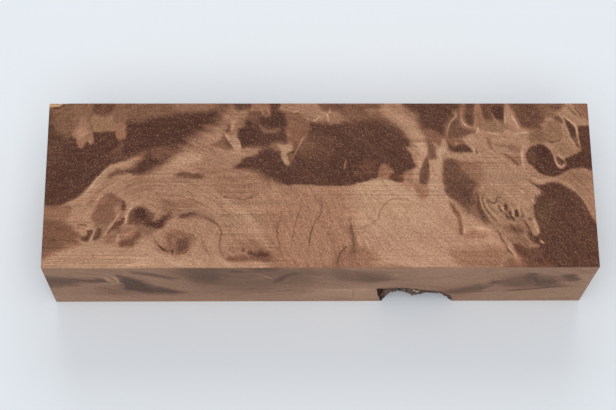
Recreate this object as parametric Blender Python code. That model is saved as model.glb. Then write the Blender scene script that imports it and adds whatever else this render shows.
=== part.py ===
"""A stabilized burl blank: one sawn block of figured wood with a natural bark void in its bottom front edge.

Run with: blender --background --python part.py
Metres, +Z up. The origin is the middle of the face that the block rests on, and +X runs along its length.
"""

import math
import random

import bmesh
import bpy
from mathutils import Vector

MM = 0.001

# The sawn block
LENGTH = 140 * MM
WIDTH = 45 * MM
HEIGHT = 29 * MM
EDGE_BREAK = 0.25 * MM  # the sawn edges, eased by one pass of sandpaper
EDGE_SEGMENTS = 2

# The bark void. Its wall runs from an outline on the front face to an outline on the bottom face,
# and both start and end on the bottom front edge. Front outline: along the length, and up.
VOID_FRONT = (
    (16.7, 0.0),
    (16.0, 3.2),
    (15.4, 6.4),
    (15.1, 9.2),
    (14.8, 11.6),
    (17.2, 11.2),
    (19.4, 12.1),
    (22.6, 11.8),
    (24.4, 11.0),
    (25.5, 11.5),
    (26.2, 10.3),
    (28.0, 9.8),
    (30.4, 9.3),
    (32.3, 8.4),
    (33.1, 6.7),
    (34.6, 5.3),
    (35.3, 3.4),
    (35.8, 0.0),
)
# Bottom outline: along the length, and in from the front face
VOID_BOTTOM = (
    (16.7, 0.0),
    (17.4, 1.0),
    (18.3, 1.9),
    (19.3, 2.8),
    (20.6, 3.4),
    (22.0, 3.2),
    (23.6, 2.6),
    (25.2, 2.2),
    (26.3, 3.4),
    (27.4, 5.4),
    (29.4, 6.3),
    (31.4, 5.9),
    (32.8, 3.6),
    (33.6, 1.8),
    (34.7, 0.9),
    (35.8, 0.0),
)
VOID_COLUMNS = 56  # along the outlines
VOID_ROWS = 9  # from the front outline in to the bottom one
VOID_ROUGHNESS = 0.32 * MM  # how far the torn bark stands in and out of its smooth wall
VOID_EDGE_ROUGHNESS = 0.14 * MM  # the same where the wall meets the sawn faces
VOID_SEED = 7
CUTTER_REACH = 2 * MM  # how far a cutter runs past the face that it cuts

# The low corner that the saw left at the back of the left end: its outline from above, and its depth
STEP_OUTLINE = ((-70.0, 21.4), (-67.7, 21.45), (-67.0, 21.8), (-66.2, 22.1), (-65.2, 22.5))
STEP_DEPTH = 0.35 * MM

WOOD_COLOUR = (0.30, 0.15, 0.085, 1.0)
WOOD_ROUGHNESS = 0.6


def clear_scene():
    """Removes whatever the file opened with."""
    for obj in list(bpy.data.objects):
        bpy.data.objects.remove(obj, do_unlink=True)


def new_object(name, bm):
    """Turns a bmesh into an object of that name in the scene, with its faces pointing out."""
    bmesh.ops.remove_doubles(bm, verts=bm.verts, dist=0.001 * MM)
    bmesh.ops.recalc_face_normals(bm, faces=bm.faces)
    mesh = bpy.data.meshes.new(name)
    bm.to_mesh(mesh)
    bm.free()
    obj = bpy.data.objects.new(name, mesh)
    bpy.context.scene.collection.objects.link(obj)
    return obj


def helper(obj):
    """Marks a cutter, which shapes the block and isn't part of it."""
    obj.hide_render = True
    obj.display_type = "WIRE"
    return obj


def spread_along(points, count):
    """That many points at even steps along the line through these."""
    lengths = [0.0]
    for a, b in zip(points, points[1:]):
        lengths.append(lengths[-1] + (b - a).length)
    spread = []
    span = 0
    for i in range(count):
        at = lengths[-1] * i / (count - 1)
        while span < len(points) - 2 and lengths[span + 1] < at:
            span += 1
        share = (at - lengths[span]) / (lengths[span + 1] - lengths[span])
        spread.append(points[span].lerp(points[span + 1], min(share, 1.0)))
    return spread


def void_outlines():
    """The two outlines of the void, as rows of points, ragged as torn bark is, meeting at both ends."""
    draw = random.Random(VOID_SEED)
    front_face = -WIDTH / 2
    front = [Vector((x * MM, front_face, z * MM)) for x, z in VOID_FRONT]
    bottom = [Vector((x * MM, front_face + inward * MM, 0)) for x, inward in VOID_BOTTOM]
    front = spread_along(front, VOID_COLUMNS)
    bottom = spread_along(bottom, VOID_COLUMNS)
    for i in range(1, VOID_COLUMNS - 1):
        front[i] += VOID_EDGE_ROUGHNESS * Vector((draw.uniform(-1, 1), 0, draw.uniform(-1, 1)))
        bottom[i] += VOID_EDGE_ROUGHNESS * Vector((draw.uniform(-1, 1), draw.uniform(-1, 1), 0))
    return front, bottom


def void_wall(front, bottom):
    """Rows of points from the front outline, over the domed roof of the void, down to the bottom one."""
    draw = random.Random(VOID_SEED + 1)
    front_face = -WIDTH / 2
    rows = [front]
    for row in range(1, VOID_ROWS):
        turn = math.pi / 2 * row / VOID_ROWS
        ends_share = math.sin(2 * turn)
        points = []
        for i, (a, b) in enumerate(zip(front, bottom)):
            x = a.x * math.cos(turn) ** 2 + b.x * math.sin(turn) ** 2
            point = Vector((x, front_face + (b.y - front_face) * math.sin(turn), a.z * math.cos(turn)))
            inside = min(1.0, 4 * i / VOID_COLUMNS, 4 * (VOID_COLUMNS - 1 - i) / VOID_COLUMNS)
            push = Vector((draw.uniform(-1, 1), draw.uniform(-1, 1), draw.uniform(-1, 1)))
            points.append(point + VOID_ROUGHNESS * ends_share * inside * push)
        rows.append(points)
    rows.append(bottom)
    return rows


def make_void_cutter():
    """A closed solid of the void, run on past the front and bottom faces."""
    front, bottom = void_outlines()
    rows = void_wall(front, bottom)
    forward = Vector((0, -CUTTER_REACH, 0))
    down = Vector((0, 0, -CUTTER_REACH))
    rows.insert(0, [point + forward for point in front])
    rows.append([point + down for point in bottom])
    bm = bmesh.new()
    grid = [[bm.verts.new(point) for point in row] for row in rows]
    for row, next_row in zip(grid, grid[1:]):
        for i in range(VOID_COLUMNS - 1):
            bm.faces.new((row[i], row[i + 1], next_row[i + 1], next_row[i]))
    corners = [bm.verts.new(end + forward + down) for end in (front[0], front[-1])]
    bm.faces.new([*grid[0], corners[1], corners[0]])
    bm.faces.new([*grid[-1], corners[1], corners[0]])
    for end, corner in zip((0, -1), corners):
        bm.faces.new([*[row[end] for row in grid], corner])
    bmesh.ops.triangulate(bm, faces=bm.faces)
    return helper(new_object("void_cutter", bm))


def make_step_cutter():
    """A thin prism over the low corner, run on past the top, back and end faces."""
    outline = [Vector((x * MM, y * MM, 0)) for x, y in STEP_OUTLINE]
    back = WIDTH / 2 + CUTTER_REACH
    left = -LENGTH / 2 - CUTTER_REACH
    outline[0].x = left
    outline.append(Vector((outline[-1].x, back, 0)))
    outline.append(Vector((left, back, 0)))
    bm = bmesh.new()
    low = [bm.verts.new(p + Vector((0, 0, HEIGHT - STEP_DEPTH))) for p in outline]
    high = [bm.verts.new(p + Vector((0, 0, HEIGHT + CUTTER_REACH))) for p in outline]
    bm.faces.new(low)
    bm.faces.new(high)
    for i in range(len(outline)):
        j = (i + 1) % len(outline)
        bm.faces.new((low[i], low[j], high[j], high[i]))
    return helper(new_object("corner_step_cutter", bm))


def make_material():
    """Sanded, resin-filled wood, in its average colour."""
    material = bpy.data.materials.new("stabilized_burl")
    material.use_nodes = True
    shader = material.node_tree.nodes["Principled BSDF"]
    shader.inputs["Base Color"].default_value = WOOD_COLOUR
    shader.inputs["Roughness"].default_value = WOOD_ROUGHNESS
    shader.inputs["Metallic"].default_value = 0.0
    return material


def make_block():
    """The sawn block, standing on the ground plane, with its edges eased."""
    bm = bmesh.new()
    bmesh.ops.create_cube(bm, size=1)
    bmesh.ops.scale(bm, vec=(LENGTH, WIDTH, HEIGHT), verts=bm.verts)
    bmesh.ops.translate(bm, vec=(0, 0, HEIGHT / 2), verts=bm.verts)
    block = new_object("burl_blank", bm)
    block.data.materials.append(make_material())
    ease = block.modifiers.new("eased_edges", "BEVEL")
    ease.width = EDGE_BREAK
    ease.segments = EDGE_SEGMENTS
    ease.limit_method = "ANGLE"
    return block


def cut(block, cutter):
    """Takes the cutter's shape out of the block."""
    boolean = block.modifiers.new(cutter.name, "BOOLEAN")
    boolean.operation = "DIFFERENCE"
    boolean.solver = "EXACT"
    boolean.object = cutter


def main():
    clear_scene()
    block = make_block()
    cut(block, make_void_cutter())
    cut(block, make_step_cutter())


main()
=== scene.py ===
"""The looks of a stabilized burl blank: one sawn, dry-sanded block of figured wood with a bark void.

Run as a script in Blender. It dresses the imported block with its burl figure, puts loose bark
in the void, and sets the block on a pale table under soft studio light.

Places on the block are in millimetres: x runs along its length, y towards its back on the
top face, and z upwards on the front face. Everything in the Blender scene is in metres.
"""

import math

import bmesh
import bpy
import numpy as np
from bpy.props import FloatProperty, FloatVectorProperty, IntProperty, PointerProperty
from mathutils import Euler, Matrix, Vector


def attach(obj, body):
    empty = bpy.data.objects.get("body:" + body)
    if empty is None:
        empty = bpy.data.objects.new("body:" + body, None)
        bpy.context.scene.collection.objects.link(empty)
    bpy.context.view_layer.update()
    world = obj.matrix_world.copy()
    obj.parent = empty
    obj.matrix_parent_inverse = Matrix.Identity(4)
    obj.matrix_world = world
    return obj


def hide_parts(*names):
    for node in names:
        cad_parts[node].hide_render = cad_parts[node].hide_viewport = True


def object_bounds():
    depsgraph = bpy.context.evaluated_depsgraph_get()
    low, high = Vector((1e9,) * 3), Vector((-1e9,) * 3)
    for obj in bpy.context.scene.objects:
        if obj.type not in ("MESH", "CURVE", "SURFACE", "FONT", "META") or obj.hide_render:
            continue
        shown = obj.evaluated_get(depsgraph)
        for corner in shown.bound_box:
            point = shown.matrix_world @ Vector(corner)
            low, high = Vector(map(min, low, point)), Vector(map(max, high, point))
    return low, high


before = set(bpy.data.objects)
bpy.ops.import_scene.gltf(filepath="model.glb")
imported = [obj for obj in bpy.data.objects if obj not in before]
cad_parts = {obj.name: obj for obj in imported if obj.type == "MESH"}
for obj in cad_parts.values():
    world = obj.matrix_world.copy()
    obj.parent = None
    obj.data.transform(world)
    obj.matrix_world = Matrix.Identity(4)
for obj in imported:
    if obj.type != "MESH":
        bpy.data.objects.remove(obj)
cad_low, cad_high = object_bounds()

bl_info = {
    "name": "Stabilized burl blank",
    "version": (1, 0, 0),
    "blender": (4, 5, 0),
    "location": "3D View > Sidebar > Burl blank",
    "description": "Figured burl, loose bark and a studio table for a packed burl block",
    "category": "Object",
}

MM = 0.001
LENGTH, WIDTH, HEIGHT = ((cad_high - cad_low) / MM)[:]
BACK = WIDTH / 2
FRONT = -WIDTH / 2
RIGHT = LENGTH / 2
LEFT = -LENGTH / 2


# The figure of the top face
# A cloud is a closed area of one shade: shade, redness, softness of its edge, strength, outline.
# Shade runs from 0, the darkest heartwood, to 1, a bright ridge of new wood. Redness runs from
# -1, olive and grey, to 1, reddish. An outline point may carry its own softness as a third number.
GROUND_SHADE = 0.57
GROUND_REDNESS = 0.05

TOP_CLOUDS = (
    # Broad zones of the light wood
    (0.56, 0, 6, 0.9, ((-56, 2), (-36, 3), (-22, -1), (-12, -12), (-22, -15), (-42, -9), (-56, -6))),
    (0.72, -0.2, 6, 0.9, ((7, 0.5), (15, 2.6), (24, 1), (31, 4), (33, -4), (30, -12), (20, -14), (10, -12))),
    (0.52, 0.35, 6, 0.8, ((-14, -5), (-8, -1), (7, -1), (8, -12), (9, -25), (-9, -25), (-12, -14))),
    (0.67, 0.1, 5, 0.9, ((10, -13), (22, -15), (34, -13), (46, -21), (47, -25), (10, -25))),
    (0.66, -0.1, 4, 0.9, (
        (-65, -17), (-52, -17.5), (-40, -19), (-20, -20.5), (-14, -25), (-72, -25), (-70, -20))),
    # The dark ground of the back left, crisp against the lip of the light hill
    (0.12, 0.15, 6, 1, (
        (-74, 27), (-23, 27), (-24, 21.5), (-24.8, 18.4), (-27.4, 15.6), (-30.7, 12.9), (-34.4, 10.6),
        (-38, 8.8), (-43, 8), (-47.5, 7.5, 1.4), (-50, 6.6, 0.7), (-52.8, 5.6, 0.5), (-54, 4.95, 0.5),
        (-55.1, 3.95, 0.45), (-56.2, 2.7, 0.45), (-57.1, 1.7, 0.45), (-58, 0.4, 0.45), (-59.3, -1.3, 0.45),
        (-60.7, -2.8, 0.5), (-61.8, -3.6, 0.6), (-63, -4.6, 0.8), (-65, -5.6, 1), (-68, -6.8, 1.6),
        (-74, -7.6, 1.6))),
    (0.11, 0.1, 2.6, 1, (
        (-50.4, 3.6, 0.7), (-48.2, 4.6), (-46.8, 6.4), (-44, 8.8), (-38.4, 8.6), (-39.4, 6.6), (-41.1, 5),
        (-43.4, 3.9), (-45, 2.8), (-46.8, 2.4), (-48.6, 2.9, 0.9))),
    (0.3, 0.4, 1.6, 0.75, (
        (-44, 9.4), (-41, 10), (-38, 9.6), (-36.6, 8.6), (-39, 7), (-41, 6.4), (-43, 7.6))),
    (0.17, -0.35, 4, 0.8, ((-74, 22), (-66, 21), (-64.5, 14), (-66, 7), (-74, 4))),
    (0.09, 0.1, 2.6, 0.7, ((-47, 15.6), (-40, 16), (-33, 17.6), (-30, 16), (-36, 11.4), (-46, 11))),
    (0.26, 0.3, 1, 0.75, ((-53.2, 9.6), (-51.2, 9.8), (-50.8, 8.6), (-52, 8), (-53.4, 8.4))),
    (0.25, 0.2, 1.2, 0.7, ((-52.2, 12.4), (-50.8, 12.4), (-50.8, 9.8), (-51.8, 9.6))),
    (0.23, 0.2, 2, 0.6, ((-54, 7.4), (-50, 8), (-47, 8.8), (-47, 7.6), (-52, 6.2))),
    # Its browner back, and the pale tongues that hang into it
    (0.34, -0.3, 2.8, 0.9, ((-69, 23.5), (-52, 23.5), (-52, 18), (-58, 17), (-64.6, 12.4), (-67.6, 15))),
    (0.5, -0.5, 1.2, 0.95, (
        (-59, 19), (-56, 18.4), (-53, 18.8), (-52.8, 15.4, 0.9), (-53.2, 14.4, 0.7), (-58, 14.4, 0.7),
        (-58.8, 15.6))),
    (0.33, -0.2, 2.2, 0.9, (
        (-50.4, 22.8), (-44, 22.6), (-36, 22.8), (-29, 23), (-25, 22.6), (-25.4, 20.6), (-31, 19.9),
        (-38, 19.4), (-43, 18.4), (-50.4, 17.2))),
    (0.43, 0.1, 1.6, 0.8, ((-38, 23), (-29, 23), (-27, 21), (-31, 20.4), (-37, 20.8))),
    (0.17, 0.4, 1.2, 0.8, ((-58.4, 24), (-53.6, 24), (-53.8, 20), (-55.4, 19.2), (-58.2, 19.8))),
    (0.36, -0.3, 1.6, 0.9, ((-63, 23), (-58.8, 23), (-58.6, 18), (-59, 15), (-62.4, 14.4), (-63.6, 17))),
    (0.48, 0.1, 0.9, 1, (
        (-63.7, 13.8), (-62.4, 15.8, 1.4), (-61.5, 17.8, 1.6), (-60.1, 18.2, 1.6), (-59.1, 15.6),
        (-58.4, 13.8, 0.7), (-58.3, 11.5, 0.5), (-59.1, 10.8, 0.45), (-59.9, 11.7, 0.45),
        (-60.2, 11.3, 0.5), (-61.3, 9.7, 0.6), (-62.1, 10.6, 0.8), (-62.5, 12.5))),
    (0.44, 0.6, 0.9, 0.8, ((-62.2, 11.6), (-60.9, 11.4), (-61, 10.3), (-61.5, 10), (-62, 10.6))),
    (0.62, 0.15, 1.4, 0.7, ((-62.8, 14.4), (-61.4, 15.6), (-60.2, 14.6), (-60.4, 13.2), (-62, 13))),
    (0.37, -0.3, 1.4, 0.9, ((-52.8, 23), (-50, 23), (-49.8, 17), (-50, 15.6), (-52.6, 15.6), (-52.8, 18))),
    (0.47, 0.5, 0.9, 1, (
        (-52.8, 16.3), (-50, 16.5), (-49.6, 15), (-49.8, 13, 0.5), (-50.6, 12.3, 0.6), (-51.8, 12.3, 0.7),
        (-52.6, 13.5, 0.7))),
    # The light wood that reaches back between the dark grounds
    (0.53, 0, 2.8, 1, (
        (-38, 6.6), (-34, 8.2), (-30, 11.2), (-26.4, 12), (-22, 9.4), (-17.6, 8.6), (-15.8, 7.7),
        (-20, 5.6), (-27, 4.8), (-36, 4.2))),
    (0.73, -0.05, 2, 0.8, ((-38.4, 5.2), (-36.6, 7), (-33, 8.2), (-30.4, 8), (-31, 6), (-35, 4.4))),
    (0.5, 0.25, 2, 0.7, ((-30, 5), (-24, 4.6), (-14, 4), (-10, 1.4), (-14, -0.4), (-24, 1.6), (-31, 3.4))),
    (0.48, 0.15, 2.4, 0.75, (
        (-24, 3.8), (-15, 3.6), (-9, 1.4), (-9.5, -0.2), (-15.4, -2.4), (-19.3, -3.9), (-24, -2.6),
        (-28, 0))),
    (0.45, 0.15, 3.4, 0.65, ((-50, -0.6), (-47, 1), (-43.6, 0.8), (-43, -1.8), (-46, -3.4), (-49.6, -2.6))),
    (0.47, 0.15, 4, 0.6, ((-41, -3.4), (-36, -2.6), (-31.6, -4), (-31, -7), (-36, -7.6), (-40.6, -6.8))),
    (0.4, -0.2, 2, 0.7, ((-40.2, -5), (-37, -4.8), (-36.4, -6.8), (-37.4, -8), (-39.8, -7.8))),
    # The reddish left end
    (0.4, 0.3, 1.8, 1, (
        (-74, -6.2), (-66, -6.6), (-63.8, -7.2, 1.2), (-63.4, -9.4), (-62.6, -11.5), (-60.6, -13.4),
        (-60, -15.4), (-63, -17.2), (-68, -19.2), (-74, -20.6))),
    (0.47, 0.25, 1.4, 0.7, ((-72, -7.4), (-65, -7.8), (-64.6, -9.2), (-72, -9.8))),
    (0.25, 0.4, 1.8, 0.8, (
        (-72, -10.6), (-66, -10.6), (-61.4, -13), (-62, -14.8), (-68, -15.6), (-72, -16))),
    (0.25, -0.1, 1.6, 0.8, ((-72, -15), (-67, -15), (-64.6, -16), (-67, -17.8), (-72, -18.6))),
    # Eye A, a reddish bud under a dark arc
    (0.34, 0.35, 1.3, 0.95, (
        (-56.9, -6.6), (-55.6, -4.2), (-53.5, -3.3), (-51, -3.9), (-49.9, -5.6), (-50, -8.6), (-51.4, -9.8),
        (-53.2, -11), (-55, -11.4), (-57, -10))),
    (0.3, 0.4, 1.4, 0.6, ((-55.8, -6.4), (-54.4, -6), (-54.2, -7.4), (-55.4, -7.6))),
    (0.32, 0.3, 1.4, 0.7, ((-57.2, -8.2), (-55.8, -8.6), (-55.8, -10.4), (-57, -10.2))),
    (0.34, 0.1, 1.2, 0.7, ((-53.4, -8.2), (-52.2, -8.8), (-53, -10.6), (-54.6, -10.8))),
    (0.56, 0.25, 1.2, 0.8, ((-52.4, -6.4), (-50.8, -6.4), (-50.5, -8.2), (-51.4, -9.4), (-52.2, -8.4))),
    (0.4, -0.5, 1.2, 0.9, (
        (-56.6, -10.6), (-53.6, -10.8), (-53.4, -12), (-54.8, -14.4), (-57, -14.6), (-57.2, -12.4))),
    # Eye C, pinkish, cupped by a rusty arc
    (0.42, 0.15, 1.8, 0.9, (
        (-53.8, -12), (-50.6, -10.8), (-46.4, -11.4), (-44.4, -13), (-45.6, -14.8), (-47.6, -16.8),
        (-51, -17), (-54.4, -15.2))),
    (0.48, 0.45, 1.2, 0.9, (
        (-50, -12.4), (-48.8, -11.4), (-47.4, -12), (-47.2, -13.6), (-48.2, -14.8), (-49.8, -14.4))),
    (0.26, 0.6, 0.8, 1, (
        (-51.1, -15.8), (-50.2, -15.2), (-48.2, -14.7), (-47.5, -14.4), (-47.1, -13.5), (-46.2, -12.8),
        (-44.8, -12.8), (-45.2, -13.6), (-45.8, -14.6), (-46.6, -15.5), (-47.3, -16.4), (-49.1, -16.5),
        (-50.2, -17), (-50.9, -16.5))),
    (0.34, 0.2, 0.7, 0.8, ((-51.6, -12.8), (-50.6, -12.2), (-50.6, -14), (-51.4, -14.6))),
    (0.64, 0.3, 0.7, 0.8, ((-51.3, -13.8), (-50.6, -14), (-50.8, -15.6), (-51.6, -15.6))),
    (0.62, -0.1, 0.7, 0.9, ((-53.2, -16.2), (-52.4, -16.2), (-52.3, -17.4), (-53.1, -17.4))),
    (0.56, 0.4, 0.7, 0.8, ((-52.2, -15.4), (-51.2, -15.6), (-51.4, -16.8), (-52.2, -16.4))),
    # Eye B, the darkest of the left group, and the S that runs on from it
    (0.21, 0.25, 1.5, 1, (
        (-48.7, -8), (-47.4, -6.4), (-45.6, -5.9), (-43.8, -6.7), (-42.6, -7.9), (-41.7, -8.5),
        (-41.8, -9.8), (-40.6, -10.1), (-39.7, -8.8), (-38.6, -7.9), (-37.7, -8.3), (-38.1, -9.6),
        (-39.4, -11.3), (-40.8, -12.1), (-42.6, -12), (-44.6, -11.4), (-46.6, -10.8), (-48.4, -10.2))),
    (0.07, 0.2, 1.2, 1, (
        (-46.8, -6.8), (-45.6, -6.4), (-44.5, -6.9), (-43.8, -8.3), (-44.2, -9.5), (-45.8, -9.3),
        (-47.1, -8.1))),
    (0.34, -0.2, 1, 0.9, (
        (-46.6, -11.2), (-45.6, -12.8), (-43.4, -13.7), (-42, -13), (-40.8, -12.1), (-42.5, -11.6),
        (-45.1, -11))),
    (0.25, 0.7, 0.7, 0.8, ((-42.9, -8), (-41.9, -8.3), (-41.9, -9.4), (-43, -9.2))),
    (0.5, 0.1, 0.6, 0.95, (
        (-41.6, -8.3), (-40.3, -7.9), (-40.1, -8.9), (-40.5, -9.8), (-41.5, -9.8), (-41.9, -9.2))),
    # The rusty wedge between eyes A and C
    (0.19, 0.6, 0.6, 1, (
        (-49.9, -9.1), (-49.7, -9.8), (-50.2, -10.8), (-51.4, -12.1), (-52.6, -12.3), (-53.3, -13.1),
        (-53.8, -12.8), (-52.9, -11.5), (-51.9, -10.2), (-50.9, -9.8))),
    # Eye D, two olive spots with a bright line between
    (0.6, 0.3, 1, 0.8, ((-61.4, -10), (-58, -10.2), (-57.6, -12), (-59, -12.8), (-61.4, -11.8))),
    (0.19, -0.5, 0.6, 1, (
        (-58.9, -12.7), (-57.8, -12.4), (-57.4, -12.9), (-57.7, -13.9), (-58.3, -14.6), (-58.7, -15.4),
        (-59.7, -15.4), (-60.6, -14.7), (-60.3, -14.2), (-59, -13.7))),
    (0.19, -0.4, 0.6, 1, (
        (-57.2, -14.5), (-56.7, -12.7), (-56.2, -12.1), (-55.4, -12.4), (-55.2, -13.5), (-55.8, -14.4),
        (-56.7, -15), (-57.3, -14.9))),
    (0.3, 0.6, 1.2, 0.8, ((-64.4, -13), (-62.4, -12.8), (-61.8, -14), (-62.6, -14.8), (-64.4, -14.6))),
    (0.7, 0, 2.2, 0.7, (
        (-46.2, -14.8), (-44.4, -13.8), (-42.8, -15), (-41.6, -18), (-41.4, -21.4), (-45, -22),
        (-47, -18))),
    # Eye E, a dark reddish bud with a ring round its foot
    (0.38, 0.3, 1.8, 0.9, (
        (-39, -14.2), (-37.6, -12.8), (-35.4, -12.4), (-33, -13.4), (-31.6, -14.8), (-32.6, -17.2),
        (-35.2, -18.8), (-37.6, -18.6), (-38.8, -17))),
    (0.2, 0.25, 1.6, 0.95, (
        (-36.2, -15.6), (-34.4, -14.6), (-32.9, -15.2), (-33.4, -17), (-35, -18), (-36.4, -17.4))),
    (0.33, 0.4, 0.8, 0.8, ((-38.7, -14), (-37.6, -13.6), (-37.3, -15.8), (-38.2, -16.4))),
    (0.3, 0.5, 0.8, 0.85, ((-40.4, -16.8), (-39.2, -17.3), (-38.2, -18), (-38.6, -18.7), (-40, -17.9))),
    (0.68, 0, 1.4, 0.6, (
        (-38.4, -19.8), (-35, -20.2), (-32, -18.4), (-30.6, -15), (-31.8, -19.4), (-34.6, -21.6),
        (-38, -21.4))),
    # Eye F: its hollow, dark but feathered to the right, and the shafts behind it
    (0.14, 0.1, 2.2, 1, (
        (-20.6, 16.8, 2.4), (-18, 20, 1.6), (-12, 20.4), (-7.6, 19.4), (-8.2, 14, 0.8), (-8.4, 11.4),
        (-10.6, 10.6), (-13.4, 9.8), (-17, 9.7), (-20.6, 9.7, 0.5), (-20.7, 11.6, 0.35),
        (-21.3, 13.2, 0.6))),
    (0.09, -0.1, 1.6, 0.8, ((-20.4, 15.6), (-17.4, 16), (-16.6, 12.6), (-18, 10.8), (-20, 12))),
    (0.09, -0.4, 1.2, 0.9, (
        (-12.8, 18.4), (-10.4, 18.8), (-8.4, 18), (-8.4, 16), (-10.6, 15.7), (-12.8, 16.4))),
    (0.4, 0.15, 0.9, 0.8, (
        (-15.6, 16.6), (-14.2, 15.6), (-12, 15.1), (-10, 15), (-10, 14.2), (-12.4, 14.1), (-14.4, 14.5),
        (-15.6, 15.6))),
    (0.3, 0.2, 1, 0.7, ((-19.4, 19.8), (-16, 19.8), (-15.6, 17.6), (-17.6, 17.4))),
    (0.14, 0.1, 0.9, 0.9, ((-22.4, 25), (-18, 25), (-18, 21), (-20, 20.6), (-22.2, 21))),
    (0.42, 0.5, 0.8, 0.9, (
        (-17.6, 25), (-13.2, 25), (-13, 20), (-13.4, 18.8), (-14.8, 18.8), (-15.6, 20.6), (-17.4, 21))),
    (0.13, 0.1, 1, 0.95, ((-12.8, 25), (-10, 25), (-10.6, 21.2), (-12.6, 20.6))),
    # The two rings of eye F, the dark band between them and the pale blade at their foot
    (0.46, 0.25, 0.9, 0.9, (
        (-24.9, 13.6), (-24.6, 16.8), (-23.2, 19), (-21, 20.3), (-18.8, 20.6), (-18.8, 19.6), (-20.8, 18.4),
        (-20.6, 16.4), (-22, 14.2), (-23, 13.4))),
    (0.46, -0.4, 0.9, 0.8, ((-21.6, 18.4), (-19.4, 18.4), (-19.4, 16.4), (-21.2, 15.8))),
    (0.32, 0.2, 0.8, 0.95, (
        (-24.7, 13.5), (-24.1, 12.6), (-22.8, 11), (-22.1, 9.7), (-24, 9.7), (-26, 10.2), (-28.1, 10.6),
        (-26.6, 11.6), (-25.5, 12.7))),
    (0.23, 0.2, 0.6, 0.8, ((-24.5, 12.8), (-23.6, 11.9), (-22.3, 10), (-23.8, 10.2), (-24.6, 11.4))),
    (0.68, -0.15, 0.45, 1, (
        (-24.1, 13.4), (-22.8, 13.1), (-21.2, 12.5), (-20.8, 11.7), (-20.6, 10.3), (-20.6, 9.3),
        (-21.4, 9.1), (-22.1, 9.5), (-22.8, 11.1), (-23.6, 12.3))),
    (0.56, 0.05, 1.4, 0.8, ((-24.4, 9), (-21, 9), (-17, 8.8), (-16.4, 8), (-19.4, 7.2), (-23.4, 7.4))),
    # The main dark ground of the middle, crisp along its lower edge
    (0.13, 0.1, 3.4, 1, (
        (-22, 4.8, 1.2), (-20.6, 6.2, 1), (-18.8, 7.3, 0.9), (-15.8, 8, 1), (-14, 9.8), (-8, 10.4),
        (-6, 17.4), (0, 17, 1.4), (2, 17), (8, 18.2), (14, 18.6), (17.6, 17.6, 5), (19.9, 15.6, 5),
        (21.4, 13.8, 4.4), (22.6, 12, 3.4), (23, 10.2, 2.6), (23.6, 8.4, 1.8), (24, 6.4, 1), (25, 4.7, 0.6),
        (23.6, 3.8, 1.2), (22, 3, 1.2), (21.8, 1.6, 1), (21, 0.5, 0.6), (19.3, 0.8, 0.5), (17.3, 1.5, 0.5),
        (15.6, 1.9, 0.5), (14.4, 1.6, 0.4), (12.1, 0.7, 0.4), (9.5, -0.05, 0.4), (6.3, -0.5, 0.4),
        (3, -0.7, 0.4), (0, -0.7, 0.45), (-5, -0.3, 0.5), (-9.4, 0, 0.9), (-13.4, 1), (-16, 3.4),
        (-18.6, 4.2, 1.6), (-21.4, 4.2, 1.2))),
    (0.21, 0.15, 4, 0.8, ((-7, 14), (0, 14.6), (3, 12), (2, 7), (-3, 6), (-6, 9))),
    (0.16, -0.35, 4, 0.7, ((5, 15.4), (17, 15), (20, 11), (15, 8), (6, 9))),
    (0.23, 0.1, 2.4, 0.85, ((3, 24), (14, 24), (19, 21), (17, 18.8), (9, 18.6), (5, 19))),
    (0.46, 0, 1, 0.8, ((12.6, 20.6), (14.8, 20.8), (14.8, 19.4), (12.8, 19.2))),
    (0.24, 0.5, 1.8, 0.7, ((9, 3), (12, 6), (14.6, 6), (14, 3.4), (11.6, 2))),
    (0.44, 0.5, 0.8, 0.95, (
        (15, 2.2), (15.2, 4.1), (16, 5.6), (17.2, 5.3), (18.4, 3.9), (18.8, 3), (17.9, 2.5), (17.3, 1.6),
        (16, 1.9))),
    (0.17, 0.7, 0.8, 0.9, ((18, 2.8), (19.6, 3.2), (21.6, 1.8), (21.4, 0.6), (19.4, 0.9), (18, 1.6))),
    (0.47, 0.4, 1.6, 0.8, ((21.6, 2.6), (23.8, 3.2), (24.4, 0.6), (23, -1.6), (21.4, 0))),
    # Eye G, a mottled bud with a pale blade and a spike below
    (0.36, 0.4, 1, 0.95, (
        (-8.6, 20.4), (-4.2, 19.6), (-3, 17.8), (-3.2, 14.4), (-3.8, 12.8), (-5, 11.4), (-6.6, 10.8),
        (-8, 11.4), (-8.5, 14), (-8.3, 17))),
    (0.5, -0.05, 0.9, 0.95, (
        (-10, 21.2, 1.4), (-8.8, 23), (-1.7, 23), (0.1, 21.4), (0.3, 18.8), (-1, 17.6, 0.5),
        (-1.7, 17.5, 0.5), (-3.2, 18.5, 0.7), (-4.3, 18.8, 0.7), (-5.4, 19.6), (-6.9, 19.8), (-9, 19.8))),
    (0.2, 0.15, 1, 0.8, ((-2.4, 25), (6, 25), (6, 21), (1.4, 20.2), (-0.4, 21.8))),
    (0.3, 0.2, 1.6, 0.8, ((-5.4, 12), (-2.4, 12.2), (-1.6, 10), (-4.6, 9))),
    (0.38, 0, 0.9, 0.8, ((-12.6, 10.8), (-10.2, 11), (-10, 9), (-11.6, 9))),
    (0.34, -0.5, 0.6, 0.9, ((-8.4, 8.2), (-7.2, 8.8), (-6.7, 7.6), (-7.4, 6), (-8, 5.4), (-8.3, 6.6))),
    (0.61, -0.15, 0.5, 1, (
        (-10.6, 10.8, 0.9), (-9.3, 10.6, 0.7), (-7.8, 11.1), (-6.7, 10.6), (-6.7, 9.5), (-7.3, 8.9),
        (-8.5, 8.3), (-8.2, 7.3), (-8.2, 6.3), (-7.9, 5.6), (-8.1, 5), (-8.8, 4.8), (-9.3, 5.3),
        (-9.7, 6.5), (-9.9, 7.7), (-9.9, 8.9), (-10.4, 9.8, 0.8))),
    (0.26, 0.3, 0.5, 0.9, ((-6.5, 11.6), (-5.8, 11.4), (-5.9, 10), (-6.6, 9.2), (-6.7, 10.2))),
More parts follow.
